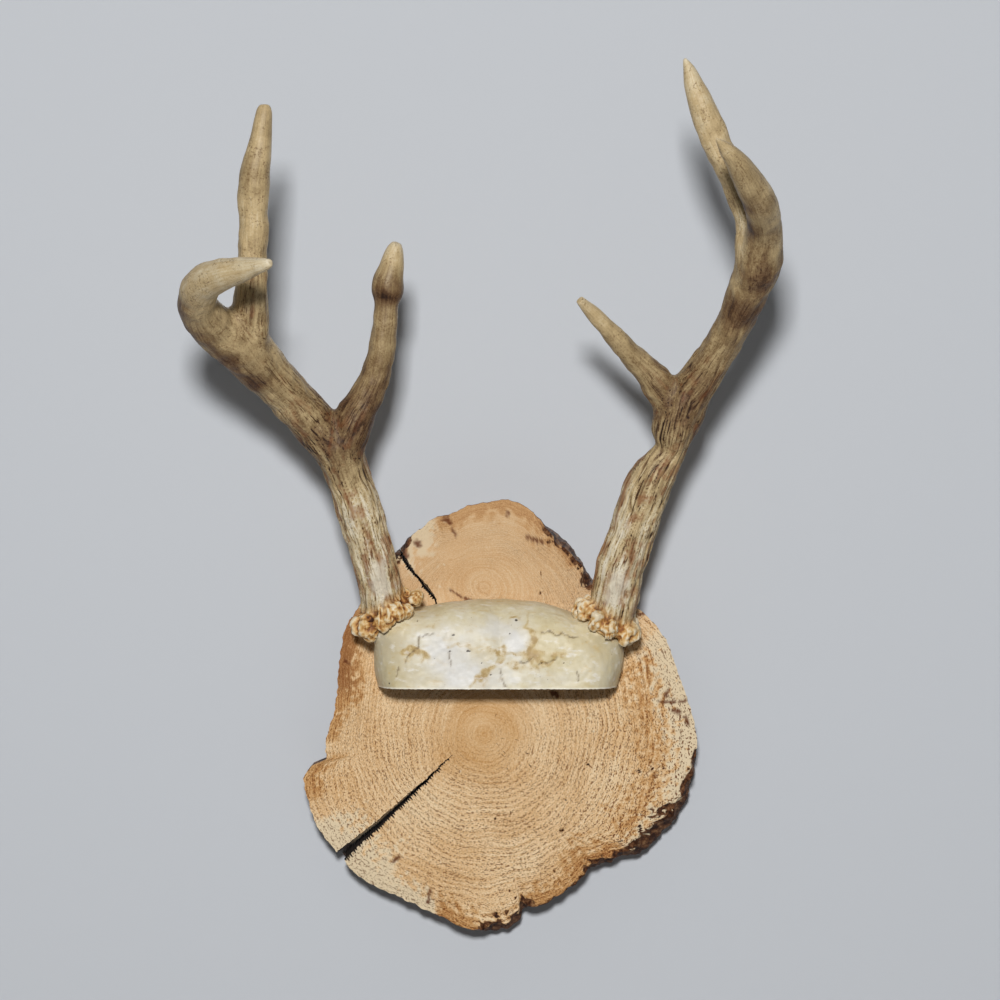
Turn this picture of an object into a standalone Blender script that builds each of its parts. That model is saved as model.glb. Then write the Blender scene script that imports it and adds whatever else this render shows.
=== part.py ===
"""Deer rack on a log slice: two forked antlers, still carried by their sawn skull plate,
which is screwed to a slice of log that hangs on a wall.

Frame, in metres: +Z up, +Y into the wall, the viewer stands at -Y.  The origin lies on
the slice's flat back face, straight behind the middle of the skull plate's sawn edge.
Left and right are the viewer's.  Run with: blender --background --python part.py
"""
import math

import bmesh
import bpy
import numpy as np

MM = 0.001                      # every size below is written in millimetres
GAP = 0.3                       # clearance left between pieces that touch

# Driving dimensions -----------------------------------------------------------------
SLICE_THICKNESS = 20.0
FRONT_Y = -SLICE_THICKNESS      # the slice's front face, which the skull plate rests on
PLATE_STANDOFF = 26.5           # how far the sawn edge's middle stands off the slice
PLATE_WALL = 4.5
RIM_Z = 1.0                     # height of the sawn edge
BURR_RADIUS = 14.4              # the knobbly crown round each antler's foot
PEDICLE_RADIUS = (11.5, 10.6)   # bony stump below the burr: root, top
PEDICLE_LENGTH = 17.0
SCREW_RADIUS = 2.0
SCREW_HEAD_RADIUS = 4.2
SCREW_BITE = 13.0               # how deep the screw goes into the bone
BOSS_RADIUS = 7.5               # solid bone behind each stump, round its screw
BOSS_LENGTH = 15.0
TUBE_SIDES = 16
RING_SPACING = 5.0

# The slice's bark line (x, z), clockwise from the upper left.
SLICE_OUTLINE = [
    (-43.5, 59.5), (-39.9, 64.5), (-32.1, 70), (-27.2, 74.4), (-22.8, 74.6), (-18.8, 76),
    (-14, 78.4), (-6, 79.9), (3.5, 81.3), (12, 77.9), (19.1, 70.2), (22.4, 68.1), (28.7, 63.2),
    (34.2, 56), (39.3, 47.3), (48, 39), (60.5, 33.5), (66.5, 27.5), (72.4, 18.7), (76.7, 6.1),
    (81.1, -6), (84.3, -18.5), (85.2, -29.7), (82.6, -42), (79.7, -51.8), (73.8, -60.1),
    (66.3, -67.9), (60.4, -72.2), (52.7, -73.5), (47, -76.4), (40.9, -77.2), (35.6, -82.3),
    (26.3, -90.2), (16.7, -94.8), (9.5, -95.5), (9.2, -101.5), (2.7, -105.2), (-7.5, -105.6),
    (-17.1, -102.4), (-25, -98.1), (-32.1, -95.2), (-43.2, -89.4), (-54.6, -84.9), (-64.3, -77.9),
    (-71.2, -69.3), (-79, -59), (-82.5, -48), (-84.8, -39), (-81.3, -33.2), (-74.4, -30.6),
    (-75.2, -24.5), (-70.8, -9.5), (-69.5, 2), (-68.9, 14.5), (-66.4, 26.7), (-61.4, 34),
    (-55, 44.5),
]
# Drying cracks, as wedges: the closed tip, then the two sides of the open mouth.
CRACKS = {
    "long_crack": ((-19, -28), (-60, -67.5), (-66, -78), (-76, -74), (-71.5, -69.5)),
    "short_crack": ((-26.5, 33.5), (-41.2, 59.5), (-45, 62), (-46, 58), (-42.8, 55.5)),
}
# Half outline of the skull plate where it meets the slice, from the right foot of its
# sawn edge over the top to the left foot.
PLATE_OUTLINE = [
    (50, 1), (53.4, 17), (50, 22.5), (42.7, 26.5), (34.2, 31), (21.4, 35.7), (8.5, 37.8),
    (-4, 38.3), (-17, 37.4), (-29.9, 35.7), (-42.7, 33.1), (-51, 27.5), (-54.3, 19), (-51.7, 1),
]
# Each antler: the foot of its burr, the way the burr faces, its screw (x, z), the main
# beam and its tines as stations (x, y, z, radius), and the beam stations at its forks.
ANTLERS = {
    "left": {
        "foot": (-47.6, -35.5, 31.0),
        "axis": (-0.50, -0.30, 0.81),
        "screw": (-42.0, 21.0),
        "beam": [
            (-48.8, -37.5, 33.5, 9.4), (-52.2, -45, 51.5, 9.0), (-57.2, -51, 70.5, 9.1),
            (-62.8, -58, 88.5, 9.3), (-67.6, -63, 101, 9.8), (-77.6, -68, 113, 9.6),
            (-89, -77, 126, 9.4), (-98, -86, 135.5, 10.3), (-107, -96, 145.5, 11.3),
            (-116.5, -106, 151.5, 9.6), (-122, -120, 159.5, 7.9), (-118.5, -134, 167, 7.6),
            (-110.5, -146, 170, 6.5), (-102, -155, 171.5, 5.1), (-95.5, -162, 172.5, 3.5),
            (-91.5, -166, 173, 2.1), (-89.5, -168, 173.5, 0.6),
        ],
        "forks": (4, 8),
        "inner_tine": [
            (-66, -62, 95, 6.5), (-64.5, -65, 105, 8.6), (-61, -68, 114.5, 8.4),
            (-55.5, -71, 124.5, 6.9), (-51, -74, 135, 6), (-48, -78.5, 150, 5.5),
            (-47, -81, 161, 5), (-46.5, -82, 167, 6.6), (-46, -83, 171.5, 6.5),
            (-45, -84, 176, 5.4), (-43.5, -86, 184, 3.3), (-42.5, -87, 187.3, 0.6),
        ],
        "back_tine": [
            (-103.5, -93, 144, 9.3), (-102.3, -100.5, 154, 8.4), (-101, -107, 168.5, 6.3),
            (-100, -111, 182.5, 5.8), (-99.5, -114, 196.5, 6), (-99.5, -116, 206, 6.4),
            (-99, -118, 214, 5.9), (-97.5, -119, 222, 5), (-96, -120.5, 233, 3.2),
            (-95.5, -121, 239.5, 0.6),
        ],
    },
    "right": {
        "foot": (44.2, -35.5, 27.2),
        "axis": (0.50, -0.30, 0.81),
        "screw": (39.0, 17.5),
        "beam": [
            (47.4, -37.5, 31, 9.8), (50.7, -45, 51.5, 10.2), (56, -51, 68.5, 9.9),
            (61.2, -57, 84, 9.8), (65.8, -60.5, 93, 9.0), (71.3, -62.5, 102, 6.7),
            (72.7, -65, 110, 9.7), (75, -67.5, 118, 10.0), (81.3, -72, 129, 9.0),
            (89, -80, 140.5, 7.6), (96, -90, 153, 7.6), (101, -100, 165.5, 8.3),
            (104.5, -108, 175, 9.5), (106, -115, 183, 8.6), (106.3, -124, 190.5, 7.1),
            (103.5, -140, 199, 6.8), (98.5, -151, 206, 6.1), (93.5, -160, 212.5, 4.7),
            (88.5, -167, 217.5, 3.1), (84, -172, 221.3, 0.6),
        ],
        "forks": (7, 12),
        "inner_tine": [
            (75, -65, 111, 6.5), (72, -67.5, 120.5, 7.9), (66.8, -71.5, 128, 7.2),
            (61.6, -75, 134, 5.9), (56, -79, 139.5, 5.2), (49.4, -84, 146, 4.5),
            (43.2, -89, 152.5, 3.7), (38, -93, 158, 3.0), (32, -98.3, 163.3, 0.6),
        ],
        "back_tine": [
            (104.5, -107, 172, 7), (102.5, -110, 180.5, 7.8), (102.3, -112, 191, 6.6),
            (99.3, -114, 201, 6.3), (90, -119, 219.5, 6.0), (85, -121, 230, 5.9),
            (81, -123, 240, 5.3), (78, -124, 247.5, 4.1), (76, -125, 253.5, 2.6),
            (74, -126, 258.3, 0.6),
        ],
    },
}


def clear_scene():
    """Remove every object that the file opened with."""
    for obj in list(bpy.data.objects):
        bpy.data.objects.remove(obj, do_unlink=True)


def material(name, color, roughness, metallic=0.0):
    """A plain Principled material."""
    mat = bpy.data.materials.new(name)
    mat.use_nodes = True
    shader = mat.node_tree.nodes["Principled BSDF"]
    shader.inputs["Base Color"].default_value = (*color, 1.0)
    shader.inputs["Roughness"].default_value = roughness
    shader.inputs["Metallic"].default_value = metallic
    return mat


def add_mesh(name, verts, faces, mat=None):
    """Turn points in millimetres and their faces into an object, shaded smooth."""
    mesh = bpy.data.meshes.new(name)
    mesh.from_pydata((np.asarray(verts, float) * MM).tolist(), [], faces)
    work = bmesh.new()
    work.from_mesh(mesh)
    bmesh.ops.recalc_face_normals(work, faces=work.faces)
    work.to_mesh(mesh)
    work.free()
    mesh.shade_smooth()
    mesh.set_sharp_from_angle(angle=math.radians(40))
    obj = bpy.data.objects.new(name, mesh)
    bpy.context.collection.objects.link(obj)
    if mat:
        mesh.materials.append(mat)
    return obj


def boolean(obj, tool, operation):
    """Keep a live EXACT Boolean on obj; the tool becomes a hidden guide."""
    tool.hide_render = True
    tool.display_type = "WIRE"
    modifier = obj.modifiers.new(f"{operation.lower()}_{tool.name}", "BOOLEAN")
    modifier.operation = operation
    modifier.solver = "EXACT"
    modifier.object = tool


# Smooth curves ------------------------------------------------------------------------
def catmull_rom(points, index, t):
    """The smooth curve at fraction t of the way from points[index] to the next: the
    point there, and the curve's direction."""
    last = len(points) - 1
    a, b, c, d = (points[min(max(i, 0), last)] for i in range(index - 1, index + 3))
    slope, bend, twist = c - a, 2 * a - 5 * b + 4 * c - d, 3 * b - a - 3 * c + d
    point = 0.5 * (2 * b + slope * t + bend * t ** 2 + twist * t ** 3)
    direction = (slope + 2 * bend * t + 3 * twist * t ** 2)[:3]
    return point, direction / np.linalg.norm(direction)


def smooth_path(stations, first=0, last=None):
    """Rings about RING_SPACING apart from one station to another: an array of
    (x, y, z, radius), and one of the curve's direction at each."""
    points = np.array(stations, float)
    last = len(points) - 1 if last is None else last
    rings = []
    for index in range(first, last):
        span = np.linalg.norm(points[index + 1, :3] - points[index, :3])
        steps = max(1, round(span / RING_SPACING))
        rings += [catmull_rom(points, index, k / steps) for k in range(steps)]
    rings.append(catmull_rom(points, last - 1, 1.0))
    path, directions = zip(*rings)
    return np.array(path), np.array(directions)


def cross_frames(directions):
    """Two unit vectors across the path at each ring, turned as little as possible."""
    side = np.cross(directions[0], (0.0, 1.0, 0.0))
    sides = []
    for direction in directions:
        side = side - direction * side.dot(direction)
        side = side / np.linalg.norm(side)
        sides.append(side)
    sides = np.array(sides)
    return sides, np.cross(directions, sides)


def lofted(rings):
    """Vertices and faces of a closed solid through rings of points, with flat ends."""
    count, sides = rings.shape[:2]
    verts = rings.reshape(-1, 3)
    faces = [(i * sides + j, i * sides + (j + 1) % sides,
              (i + 1) * sides + (j + 1) % sides, (i + 1) * sides + j)
             for i in range(count - 1) for j in range(sides)]
    faces += [tuple(range(sides))[::-1], tuple(range((count - 1) * sides, count * sides))]
    return verts, faces


def tube(name, curve, mat=None, grow=0.0, trim=(0.0, 0.0)):
    """A tapered round bar along a curve; trim shortens its two ends along the curve."""
    path, directions = curve
    across, up = cross_frames(directions)
    path[0, :3] += directions[0] * trim[0]
    path[-1, :3] -= directions[-1] * trim[1]
    angle = np.linspace(0, math.tau, TUBE_SIDES, endpoint=False)[None, :, None]
    spokes = np.cos(angle) * across[:, None] + np.sin(angle) * up[:, None]
    rings = path[:, None, :3] + spokes * (path[:, 3] + grow)[:, None, None]
    return add_mesh(name, *lofted(rings), mat)


def turned(name, foot, axis, profile, mat=None, lumps=0.0, sides=20):
    """A solid turned about axis: profile holds (height, radius); lumps make it knobbly."""
    axis = np.array(axis, float) / np.linalg.norm(axis)
    across = np.cross(axis, (0.0, 1.0, 0.1))
    across /= np.linalg.norm(across)
    up = np.cross(axis, across)
    angle = np.linspace(0, math.tau, sides, endpoint=False)
    knobs = 1 + lumps * (np.cos(7 * angle) + 0.6 * np.cos(4 * angle + 1.3))
    spokes = np.cos(angle)[:, None] * across + np.sin(angle)[:, None] * up
    rings = np.array([np.array(foot) + axis * height + spokes * (radius * knobs)[:, None]
                      for height, radius in profile])
    return add_mesh(name, *lofted(rings), mat)


def prism(name, outline, y_back, y_front, mat=None):
    """An outline (x, z) carried straight from y_back to y_front."""
    rings = np.array([[(x, y, z) for x, z in outline] for y in (y_back, y_front)], float)
    return add_mesh(name, *lofted(rings), mat)


# The pieces ---------------------------------------------------------------------------
def log_slice(mat):
    """The slice with its drying cracks and two countersunk screw holes."""
    piece = prism("log_slice", SLICE_OUTLINE, 0.0, FRONT_Y, mat)
    piece.data.shade_flat()
    for name, wedge in CRACKS.items():
        boolean(piece, prism(name, wedge, 2.0, FRONT_Y - 2.0), "DIFFERENCE")
    for side, antler in ANTLERS.items():
        x, z = antler["screw"]
        hole = turned(f"{side}_slice_hole", (x, 0, z), (0, -1, 0), [
            (-1.0, SCREW_HEAD_RADIUS + GAP), (0.8, SCREW_HEAD_RADIUS + GAP),
            (3.0, SCREW_RADIUS + GAP), (SLICE_THICKNESS + 1.0, SCREW_RADIUS + GAP)])
        boolean(piece, hole, "DIFFERENCE")
    return piece


def dome(name, height, inset, back_y, mat=None, sides=60, rows=8):
    """A dome over the plate's outline and its mirror image below the sawn edge.  From foot
    to crown it stands height * sqrt(1 - rho ** bluntness) off the slice, rho being the
    share of the way out to the foot, and it is blunter at the sides than at the top."""
    outline = np.array(PLATE_OUTLINE, float) - (0.0, RIM_Z)
    bearing = np.arctan2(outline[:, 1], outline[:, 0])
    reach = np.linalg.norm(outline, axis=1) - inset
    turn = np.linspace(0, math.tau, sides, endpoint=False)
    radius = np.interp(np.arccos(np.cos(turn)), bearing, reach)
    bluntness = 3.2 + 4.5 * np.abs(np.cos(turn))
    rho = np.sin(np.linspace(math.pi / 2, 0.12, rows))[:, None]
    stand = height * np.sqrt(np.clip(1 - rho ** bluntness, 0, None))
    x = rho * radius * np.cos(turn)
    z = RIM_Z + rho * radius * np.sin(turn)
    rings = np.stack([x, FRONT_Y - GAP - stand, z], axis=-1)
    rings[0, :, 1] = back_y
    return add_mesh(name, *lofted(rings), mat)


def skull_plate(mat):
    """A thin half-dome of bone, open below and behind, that carries a solid stump for each
    antler, with solid bone behind it for the antler's screw."""
    piece = dome("skull_plate", PLATE_STANDOFF, 0.0, FRONT_Y - GAP, mat)
    hollow = dome("skull_hollow", PLATE_STANDOFF - PLATE_WALL, PLATE_WALL, FRONT_Y + 2.0)
    saw = prism("saw_cut", [(-70, RIM_Z), (70, RIM_Z), (70, -70), (-70, -70)], 0.0, -80.0)
    root, top = PEDICLE_RADIUS
    for side, antler in ANTLERS.items():
        pedicle = turned(f"{side}_pedicle", antler["foot"], antler["axis"],
                         [(-PEDICLE_LENGTH, root), (-GAP, top)])
        boolean(piece, pedicle, "UNION")
    boolean(piece, hollow, "DIFFERENCE")
    for side, antler in ANTLERS.items():
        x, z = antler["screw"]
        boss = turned(f"{side}_boss", (x, FRONT_Y - GAP, z), (0, -1, 0),
                      [(0.0, BOSS_RADIUS), (BOSS_LENGTH, BOSS_RADIUS)])
        hole = turned(f"{side}_bone_hole", (x, FRONT_Y, z), (0, -1, 0),
                      [(0.0, SCREW_RADIUS + GAP), (SCREW_BITE + 1.0, SCREW_RADIUS + GAP)])
        boolean(piece, boss, "UNION")
        boolean(piece, hole, "DIFFERENCE")
    boolean(piece, saw, "DIFFERENCE")
    return piece


def screw(side, mat):
    """A countersunk wood screw, driven from the back of the slice into the bone."""
    x, z = ANTLERS[side]["screw"]
    length = SLICE_THICKNESS + SCREW_BITE
    return turned(f"{side}_screw", (x, 0, z), (0, -1, 0), [
        (0.8, SCREW_HEAD_RADIUS), (3.0, SCREW_RADIUS), (length - 5.0, SCREW_RADIUS),
        (length, 0.4)], mat)


def antler_pieces(side, mats):
    """One antler in five pieces, split where it forks."""
    antler = ANTLERS[side]
    beam, (lower_fork, upper_fork) = antler["beam"], antler["forks"]
    half = GAP / 2
    lower = tube(f"{side}_lower_beam", smooth_path(beam, 0, lower_fork), mats["beam"],
                 trim=(0.0, half))
    burr = turned(f"{side}_burr", antler["foot"], antler["axis"], [
        (0.0, BURR_RADIUS - 2.2), (2.0, BURR_RADIUS), (4.5, BURR_RADIUS + 0.4),
        (7.0, BURR_RADIUS - 2.0), (9.0, BURR_RADIUS - 5.4)], lumps=0.05)
    boolean(lower, burr, "UNION")
    tube(f"{side}_middle_beam", smooth_path(beam, lower_fork, upper_fork), mats["beam"],
         trim=(half, half))
    tube(f"{side}_beam_tip", smooth_path(beam, upper_fork), mats["tine"], trim=(half, 0.0))
    core = tube(f"{side}_beam_guide", smooth_path(beam), grow=GAP)
    for name in ("inner_tine", "back_tine"):
        tine = tube(f"{side}_{name}", smooth_path(antler[name]), mats["tine"])
        boolean(tine, core, "DIFFERENCE")


def main():
    clear_scene()
    antler_mats = {
        "beam": material("antler_beam", (0.46, 0.36, 0.23), 0.55),
        "tine": material("antler_tine", (0.60, 0.50, 0.35), 0.42),
    }
    log_slice(material("pine_end_grain", (0.58, 0.38, 0.19), 0.75))
    skull_plate(material("bleached_bone", (0.80, 0.76, 0.66), 0.6))
    steel = material("zinc_steel", (0.62, 0.62, 0.60), 0.35, 1.0)
    for side in ANTLERS:
        antler_pieces(side, antler_mats)
        screw(side, steel)


main()
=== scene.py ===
# %% [markdown]
# # A deer's rack on a slice of log
# Two antlers, still grown on to their sawn skull plate, hang on a wall on a rough slice
# of pine.  This lesson builds their looks round a plain solid model of the same thing.
# Lengths are in millimetres until a mesh is made, because antlers are measured so.

# %% Load the solid model
import math

import bpy
import numpy as np
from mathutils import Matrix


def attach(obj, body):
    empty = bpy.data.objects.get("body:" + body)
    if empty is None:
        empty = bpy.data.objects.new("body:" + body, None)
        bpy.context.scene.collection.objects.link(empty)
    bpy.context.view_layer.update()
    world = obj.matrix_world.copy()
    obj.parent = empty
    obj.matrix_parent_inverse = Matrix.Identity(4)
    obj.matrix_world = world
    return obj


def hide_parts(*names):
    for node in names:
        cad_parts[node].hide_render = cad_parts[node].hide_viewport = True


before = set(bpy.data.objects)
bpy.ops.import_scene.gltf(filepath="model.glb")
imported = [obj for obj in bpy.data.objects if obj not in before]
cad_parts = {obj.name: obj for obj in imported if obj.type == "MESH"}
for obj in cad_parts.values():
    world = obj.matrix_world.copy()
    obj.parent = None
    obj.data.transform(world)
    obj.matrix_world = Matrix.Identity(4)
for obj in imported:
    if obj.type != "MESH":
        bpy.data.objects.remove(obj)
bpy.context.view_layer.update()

MM = 0.001

# %% [markdown]
# ## Camera, wall and light
# The rack hangs on a wall, so the backdrop is a plain pale wall with a floor far below.
# The wall is see-through from behind, by a shader that mixes in transparency on its back
# face, so the slice's back can be looked at too.  A long lens squarely on the wall keeps
# the antlers in proportion.  One small lamp in front and above gives the shade under the
# plate, and wide faint ones from the ceiling and from behind fill the dark sides.

# %% Camera
SCENE = bpy.context.scene
SCENE.view_settings.view_transform = "Standard"
VIEW_WIDTH = 430                # what the picture spans at the slice's front face
CAMERA_REACH = 1580             # from the camera to that face
SLICE_FRONT = -20
CAMERA_HEIGHT = 81

camera = bpy.data.objects.new("camera", bpy.data.cameras.new("camera"))
SCENE.collection.objects.link(camera)
camera.location = (0, (SLICE_FRONT - CAMERA_REACH) * MM, CAMERA_HEIGHT * MM)
camera.rotation_euler = (math.radians(90), 0, 0)
camera.data.lens = camera.data.sensor_width * CAMERA_REACH / VIEW_WIDTH
SCENE.camera = camera
print("lens:", round(camera.data.lens, 1), "mm")


# %% [markdown]
# ## Materials as arithmetic
# A material is a sum of masks, so it reads best as one.  `Value` wraps a socket, and
# Python's operators on it add Math nodes; every other node comes from `Graph.node`.

# %% A socket that can be added, scaled and compared
class Value:
    """A socket of a material; arithmetic on it adds Math nodes."""

    def __init__(self, graph, socket):
        self.graph, self.socket = graph, socket

    def _math(self, operation, *values):
        return self.graph.node("ShaderNodeMath", {"operation": operation},
                               dict(enumerate(values)))

    def __add__(self, other):
        return self._math("ADD", self, other)

    def __sub__(self, other):
        return self._math("SUBTRACT", self, other)

    def __rsub__(self, other):
        return self._math("SUBTRACT", other, self)

    def __mul__(self, other):
        return self._math("MULTIPLY", self, other)

    def __truediv__(self, other):
        return self._math("DIVIDE", self, other)

    __radd__, __rmul__ = __add__, __mul__

    def apply(self, operation, *others):
        """Any other Math operation, such as SINE or MAXIMUM."""
        return self._math(operation, self, *others)

    def step(self, low, high):
        """0 below low and 1 above high, with a smooth rise between; it falls if low is
        the larger."""
        return self.graph.node(
            "ShaderNodeMapRange", {"interpolation_type": "SMOOTHSTEP"},
            {"Value": self, "From Min": low, "From Max": high})


class Graph:
    """One new Principled material, and the nodes that its pattern is built from."""

    def __init__(self, name):
        self.material = bpy.data.materials.new(name)
        self.material.use_nodes = True
        self.tree = self.material.node_tree
        self.shader = self.tree.nodes["Principled BSDF"]

    def node(self, kind, settings=None, sockets=None, out=0):
        """Add a node: its settings first, then a number or a link for each socket."""
        node = self.tree.nodes.new(kind)
        for name, setting in (settings or {}).items():
            if name == "stops":
                ramp = node.color_ramp.elements
                while len(ramp) < len(setting):
                    ramp.new(0.5)
                for element, (place, color) in zip(ramp, setting):
                    element.position, element.color = place, (*color, 1)
            else:
                setattr(node, name, setting)
        for name, value in (sockets or {}).items():
            if isinstance(value, Value):
                self.tree.links.new(value.socket, node.inputs[name])
            else:
                node.inputs[name].default_value = value
        return Value(self, node.outputs[out])

    def place(self):
        """Object coordinates, in metres."""
        return self.node("ShaderNodeTexCoord", out="Object")

    def attribute(self, name):
        """A number stored on the mesh's points."""
        return self.node("ShaderNodeAttribute", {"attribute_name": name}, out="Fac")

    def stretch(self, place, scale):
        """Coordinates scaled along X, Y and Z."""
        return self.node("ShaderNodeMapping", {}, {"Vector": place, "Scale": scale})

    def noise(self, place, size, detail=4.0, rough=0.55):
        """Cloudy noise from 0 to 1 whose lumps are about size millimetres."""
        return self.node("ShaderNodeTexNoise", {}, {
            "Vector": place, "Scale": 1 / (size * MM), "Detail": detail, "Roughness": rough})

    def cells(self, place, size):
        """Distance to the nearest of scattered points about size millimetres apart."""
        return self.node("ShaderNodeTexVoronoi", {}, {
            "Vector": place, "Scale": 1 / (size * MM)})

    def mix(self, first, second, share):
        """Blend two colours; share 0 gives the first and 1 the second."""
        color = [(*c, 1) if isinstance(c, tuple) else c for c in (first, second)]
        return self.node("ShaderNodeMix", {"data_type": "RGBA"},
                         {"Factor": share, 6: color[0], 7: color[1]}, out=2)

    def ramp(self, value, stops):
        """Colour by value, through stops of (value, colour)."""
        return self.node("ShaderNodeValToRGB", {"stops": stops}, {"Fac": value})

    def bump(self, height, depth, strength=1.0):
        """Normals of a relief depth millimetres deep where height runs from 0 to 1."""
        return self.node("ShaderNodeBump", {}, {
            "Height": height, "Distance": depth * MM, "Strength": strength})

    def finish(self, **sockets):
        """Wire or set the shader's own sockets, such as Base_Color or Roughness."""
        for name, value in sockets.items():
            socket = self.shader.inputs[name.replace("_", " ")]
            if isinstance(value, Value):
                self.tree.links.new(value.socket, socket)
            else:
                socket.default_value = value
        return self.material


# %% Wall and floor
def plane(name, corners, mat):
    """A flat backdrop through four corners, in millimetres."""
    mesh = bpy.data.meshes.new(name)
    mesh.from_pydata([tuple(v * MM for v in corner) for corner in corners], [], [(0, 1, 2, 3)])
    obj = bpy.data.objects.new(name, mesh)
    SCENE.collection.objects.link(obj)
    mesh.materials.append(mat)


def backdrop_material(name, color):
    """Flat paint on the front face and nothing on the back one.  Lamps shine through it
    too, or the slice's back would be in the wall's own shade."""
    graph = Graph(name)
    back = graph.node("ShaderNodeNewGeometry", out="Backfacing")
    back = back.apply("MAXIMUM", graph.node("ShaderNodeLightPath", out="Is Shadow Ray"))
    clear = graph.node("ShaderNodeBsdfTransparent")
    graph.finish(Base_Color=(*color, 1), Roughness=0.9)
    paint = Value(graph, graph.shader.outputs[0])
    mixed = graph.node("ShaderNodeMixShader", {}, {0: back, 1: paint, 2: clear})
    graph.tree.links.new(mixed.socket, graph.tree.nodes["Material Output"].inputs[0])
    return graph.material


WALL_Y, REACH, FLOOR_Z = 1, 4000, -1400
wall_paint = backdrop_material("wall_paint", (0.55, 0.57, 0.60))
floor_paint = backdrop_material("floor_paint", (0.66, 0.66, 0.65))
plane("wall", [(-REACH, WALL_Y, FLOOR_Z), (REACH, WALL_Y, FLOOR_Z),
               (REACH, WALL_Y, REACH), (-REACH, WALL_Y, REACH)], wall_paint)
plane("floor", [(-REACH, -REACH, FLOOR_Z), (REACH, -REACH, FLOOR_Z),
                (REACH, REACH, FLOOR_Z), (-REACH, REACH, FLOOR_Z)], floor_paint)
print("the wall is", WALL_Y, "mm behind the slice and the floor", -FLOOR_Z, "mm below")


# %% Lamps
def lamp(name, place, target, size, watts):
    """A square soft lamp at place that faces target."""
    data = bpy.data.lights.new(name, "AREA")
    data.size, data.energy = size * MM, watts
    obj = bpy.data.objects.new(name, data)
    SCENE.collection.objects.link(obj)
    away = np.array(place, float) - target
    turn = math.atan2(away[0], -away[1])
    tilt = math.atan2(math.hypot(away[0], away[1]), away[2])
    obj.location, obj.rotation_euler = np.array(place) * MM, (tilt, 0, turn)


def room(glow, backdrop):
    """Even light of strength glow from all round, which the camera sees as a pale backdrop."""
    world = bpy.data.worlds.new("soft_room")
    world.use_nodes = True
    nodes, links = world.node_tree.nodes, world.node_tree.links
    seen, share = nodes.new("ShaderNodeLightPath"), nodes.new("ShaderNodeMapRange")
    share.inputs["To Min"].default_value, share.inputs["To Max"].default_value = glow, backdrop
    links.new(seen.outputs["Is Camera Ray"], share.inputs["Value"])
    links.new(share.outputs["Result"], nodes["Background"].inputs["Strength"])
    nodes["Background"].inputs["Color"].default_value = (0.93, 0.96, 1.0, 1)
    return world


SCENE.world = room(0.045, 0.55)
lamp("soft_key", (-60, -2000, 490), (0, -60, 80), 200, 35)
lamp("top_fill", (-200, -900, 1500), (0, -60, 80), 1200, 1.5)
lamp("back_fill", (300, 1800, 700), (0, -20, 80), 1200, 12)
print("lamps:", {light.name: f"{light.energy:g} W" for light in bpy.data.lights})


# %% [markdown]
# ## Shapes as arrays
# Every piece below is worked out with whole arrays of points.  These helpers give smooth
# curves, noise, bars swept along a curve and lumps.  Pieces that grow into each other are
# then skinned together on a fine voxel grid, as bone has no seams, and the skin is
# carved point by point.

# %% Noise
def scatter(cells, seed):
    """A fixed pseudo-random number from 0 to 1 for each whole-numbered cell: its indices
    times large primes, added, then scrambled by shifts and products."""
    code = (cells[..., 0] * 374761393 + cells[..., 1] * 668265263
            + cells[..., 2] * 1440662683 + seed * 974634777) & 0xFFFFFFFF
    code = ((code ^ (code >> 13)) * 1274126177) & 0xFFFFFFFF
    code = ((code ^ (code >> 15)) * 668265263) & 0xFFFFFFFF
    return (code ^ (code >> 16)) / 2 ** 32


def noise(points, seed=0, octaves=1):
    """Smooth noise from about -1 to 1 at each point.  Each corner of the unit cell has a
    random slope; the slopes' heights are blended by 6t^5 - 15t^4 + 10t^3 on each axis.
    Each further octave is half as large and half as high."""
    total = 0
    for octave in range(octaves):
        spread = np.asarray(points) * 2 ** octave
        cell = np.floor(spread).astype(np.int64)
        inside = spread - cell
        ease = inside ** 3 * (inside * (inside * 6 - 15) + 10)
        for corner in np.ndindex(2, 2, 2):
            slope = np.stack([scatter(cell + corner, seed + 7 * octave + 31 * axis)
                              for axis in range(3)], axis=-1) * 2 - 1
            share = np.where(corner, ease, 1 - ease).prod(axis=-1)
            total = total + share * (slope * (inside - corner)).sum(axis=-1) * 2 / 2 ** octave
    return total


def step(value, low, high):
    """0 below low, 1 above high and 3t^2 - 2t^3 between."""
    t = np.clip((value - low) / (high - low), 0, 1)
    return t * t * (3 - 2 * t)


def bell(value, centre, width):
    """A hump of height 1 at centre that fades over width: exp(-t^2)."""
    return np.exp(-((value - centre) / width) ** 2)


# %% Curves, bars and lumps
def smooth_curve(stations, spacing):
    """A smooth curve through stations, as points evenly spaced: each stretch is the cubic
    that leaves and meets its stations along the line between their neighbours."""
    knots = np.array(stations, float)
    last = len(knots) - 1
    run = np.linspace(0, last, 40 * last + 1)
    index = np.minimum(run.astype(int), last - 1)
    t = (run - index)[:, None]
    a, b, c, d = (knots[np.clip(index + shift, 0, last)] for shift in (-1, 0, 1, 2))
    fine = 0.5 * (2 * b + (c - a) * t + (2 * a - 5 * b + 4 * c - d) * t ** 2
                  + (3 * b - a - 3 * c + d) * t ** 3)
    along = np.append(0, np.linalg.norm(np.diff(fine[:, :3], axis=0), axis=1).cumsum())
    even = np.linspace(0, along[-1], max(3, round(along[-1] / spacing)))
    return np.stack([np.interp(even, along, column) for column in fine.T], axis=-1)


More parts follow.
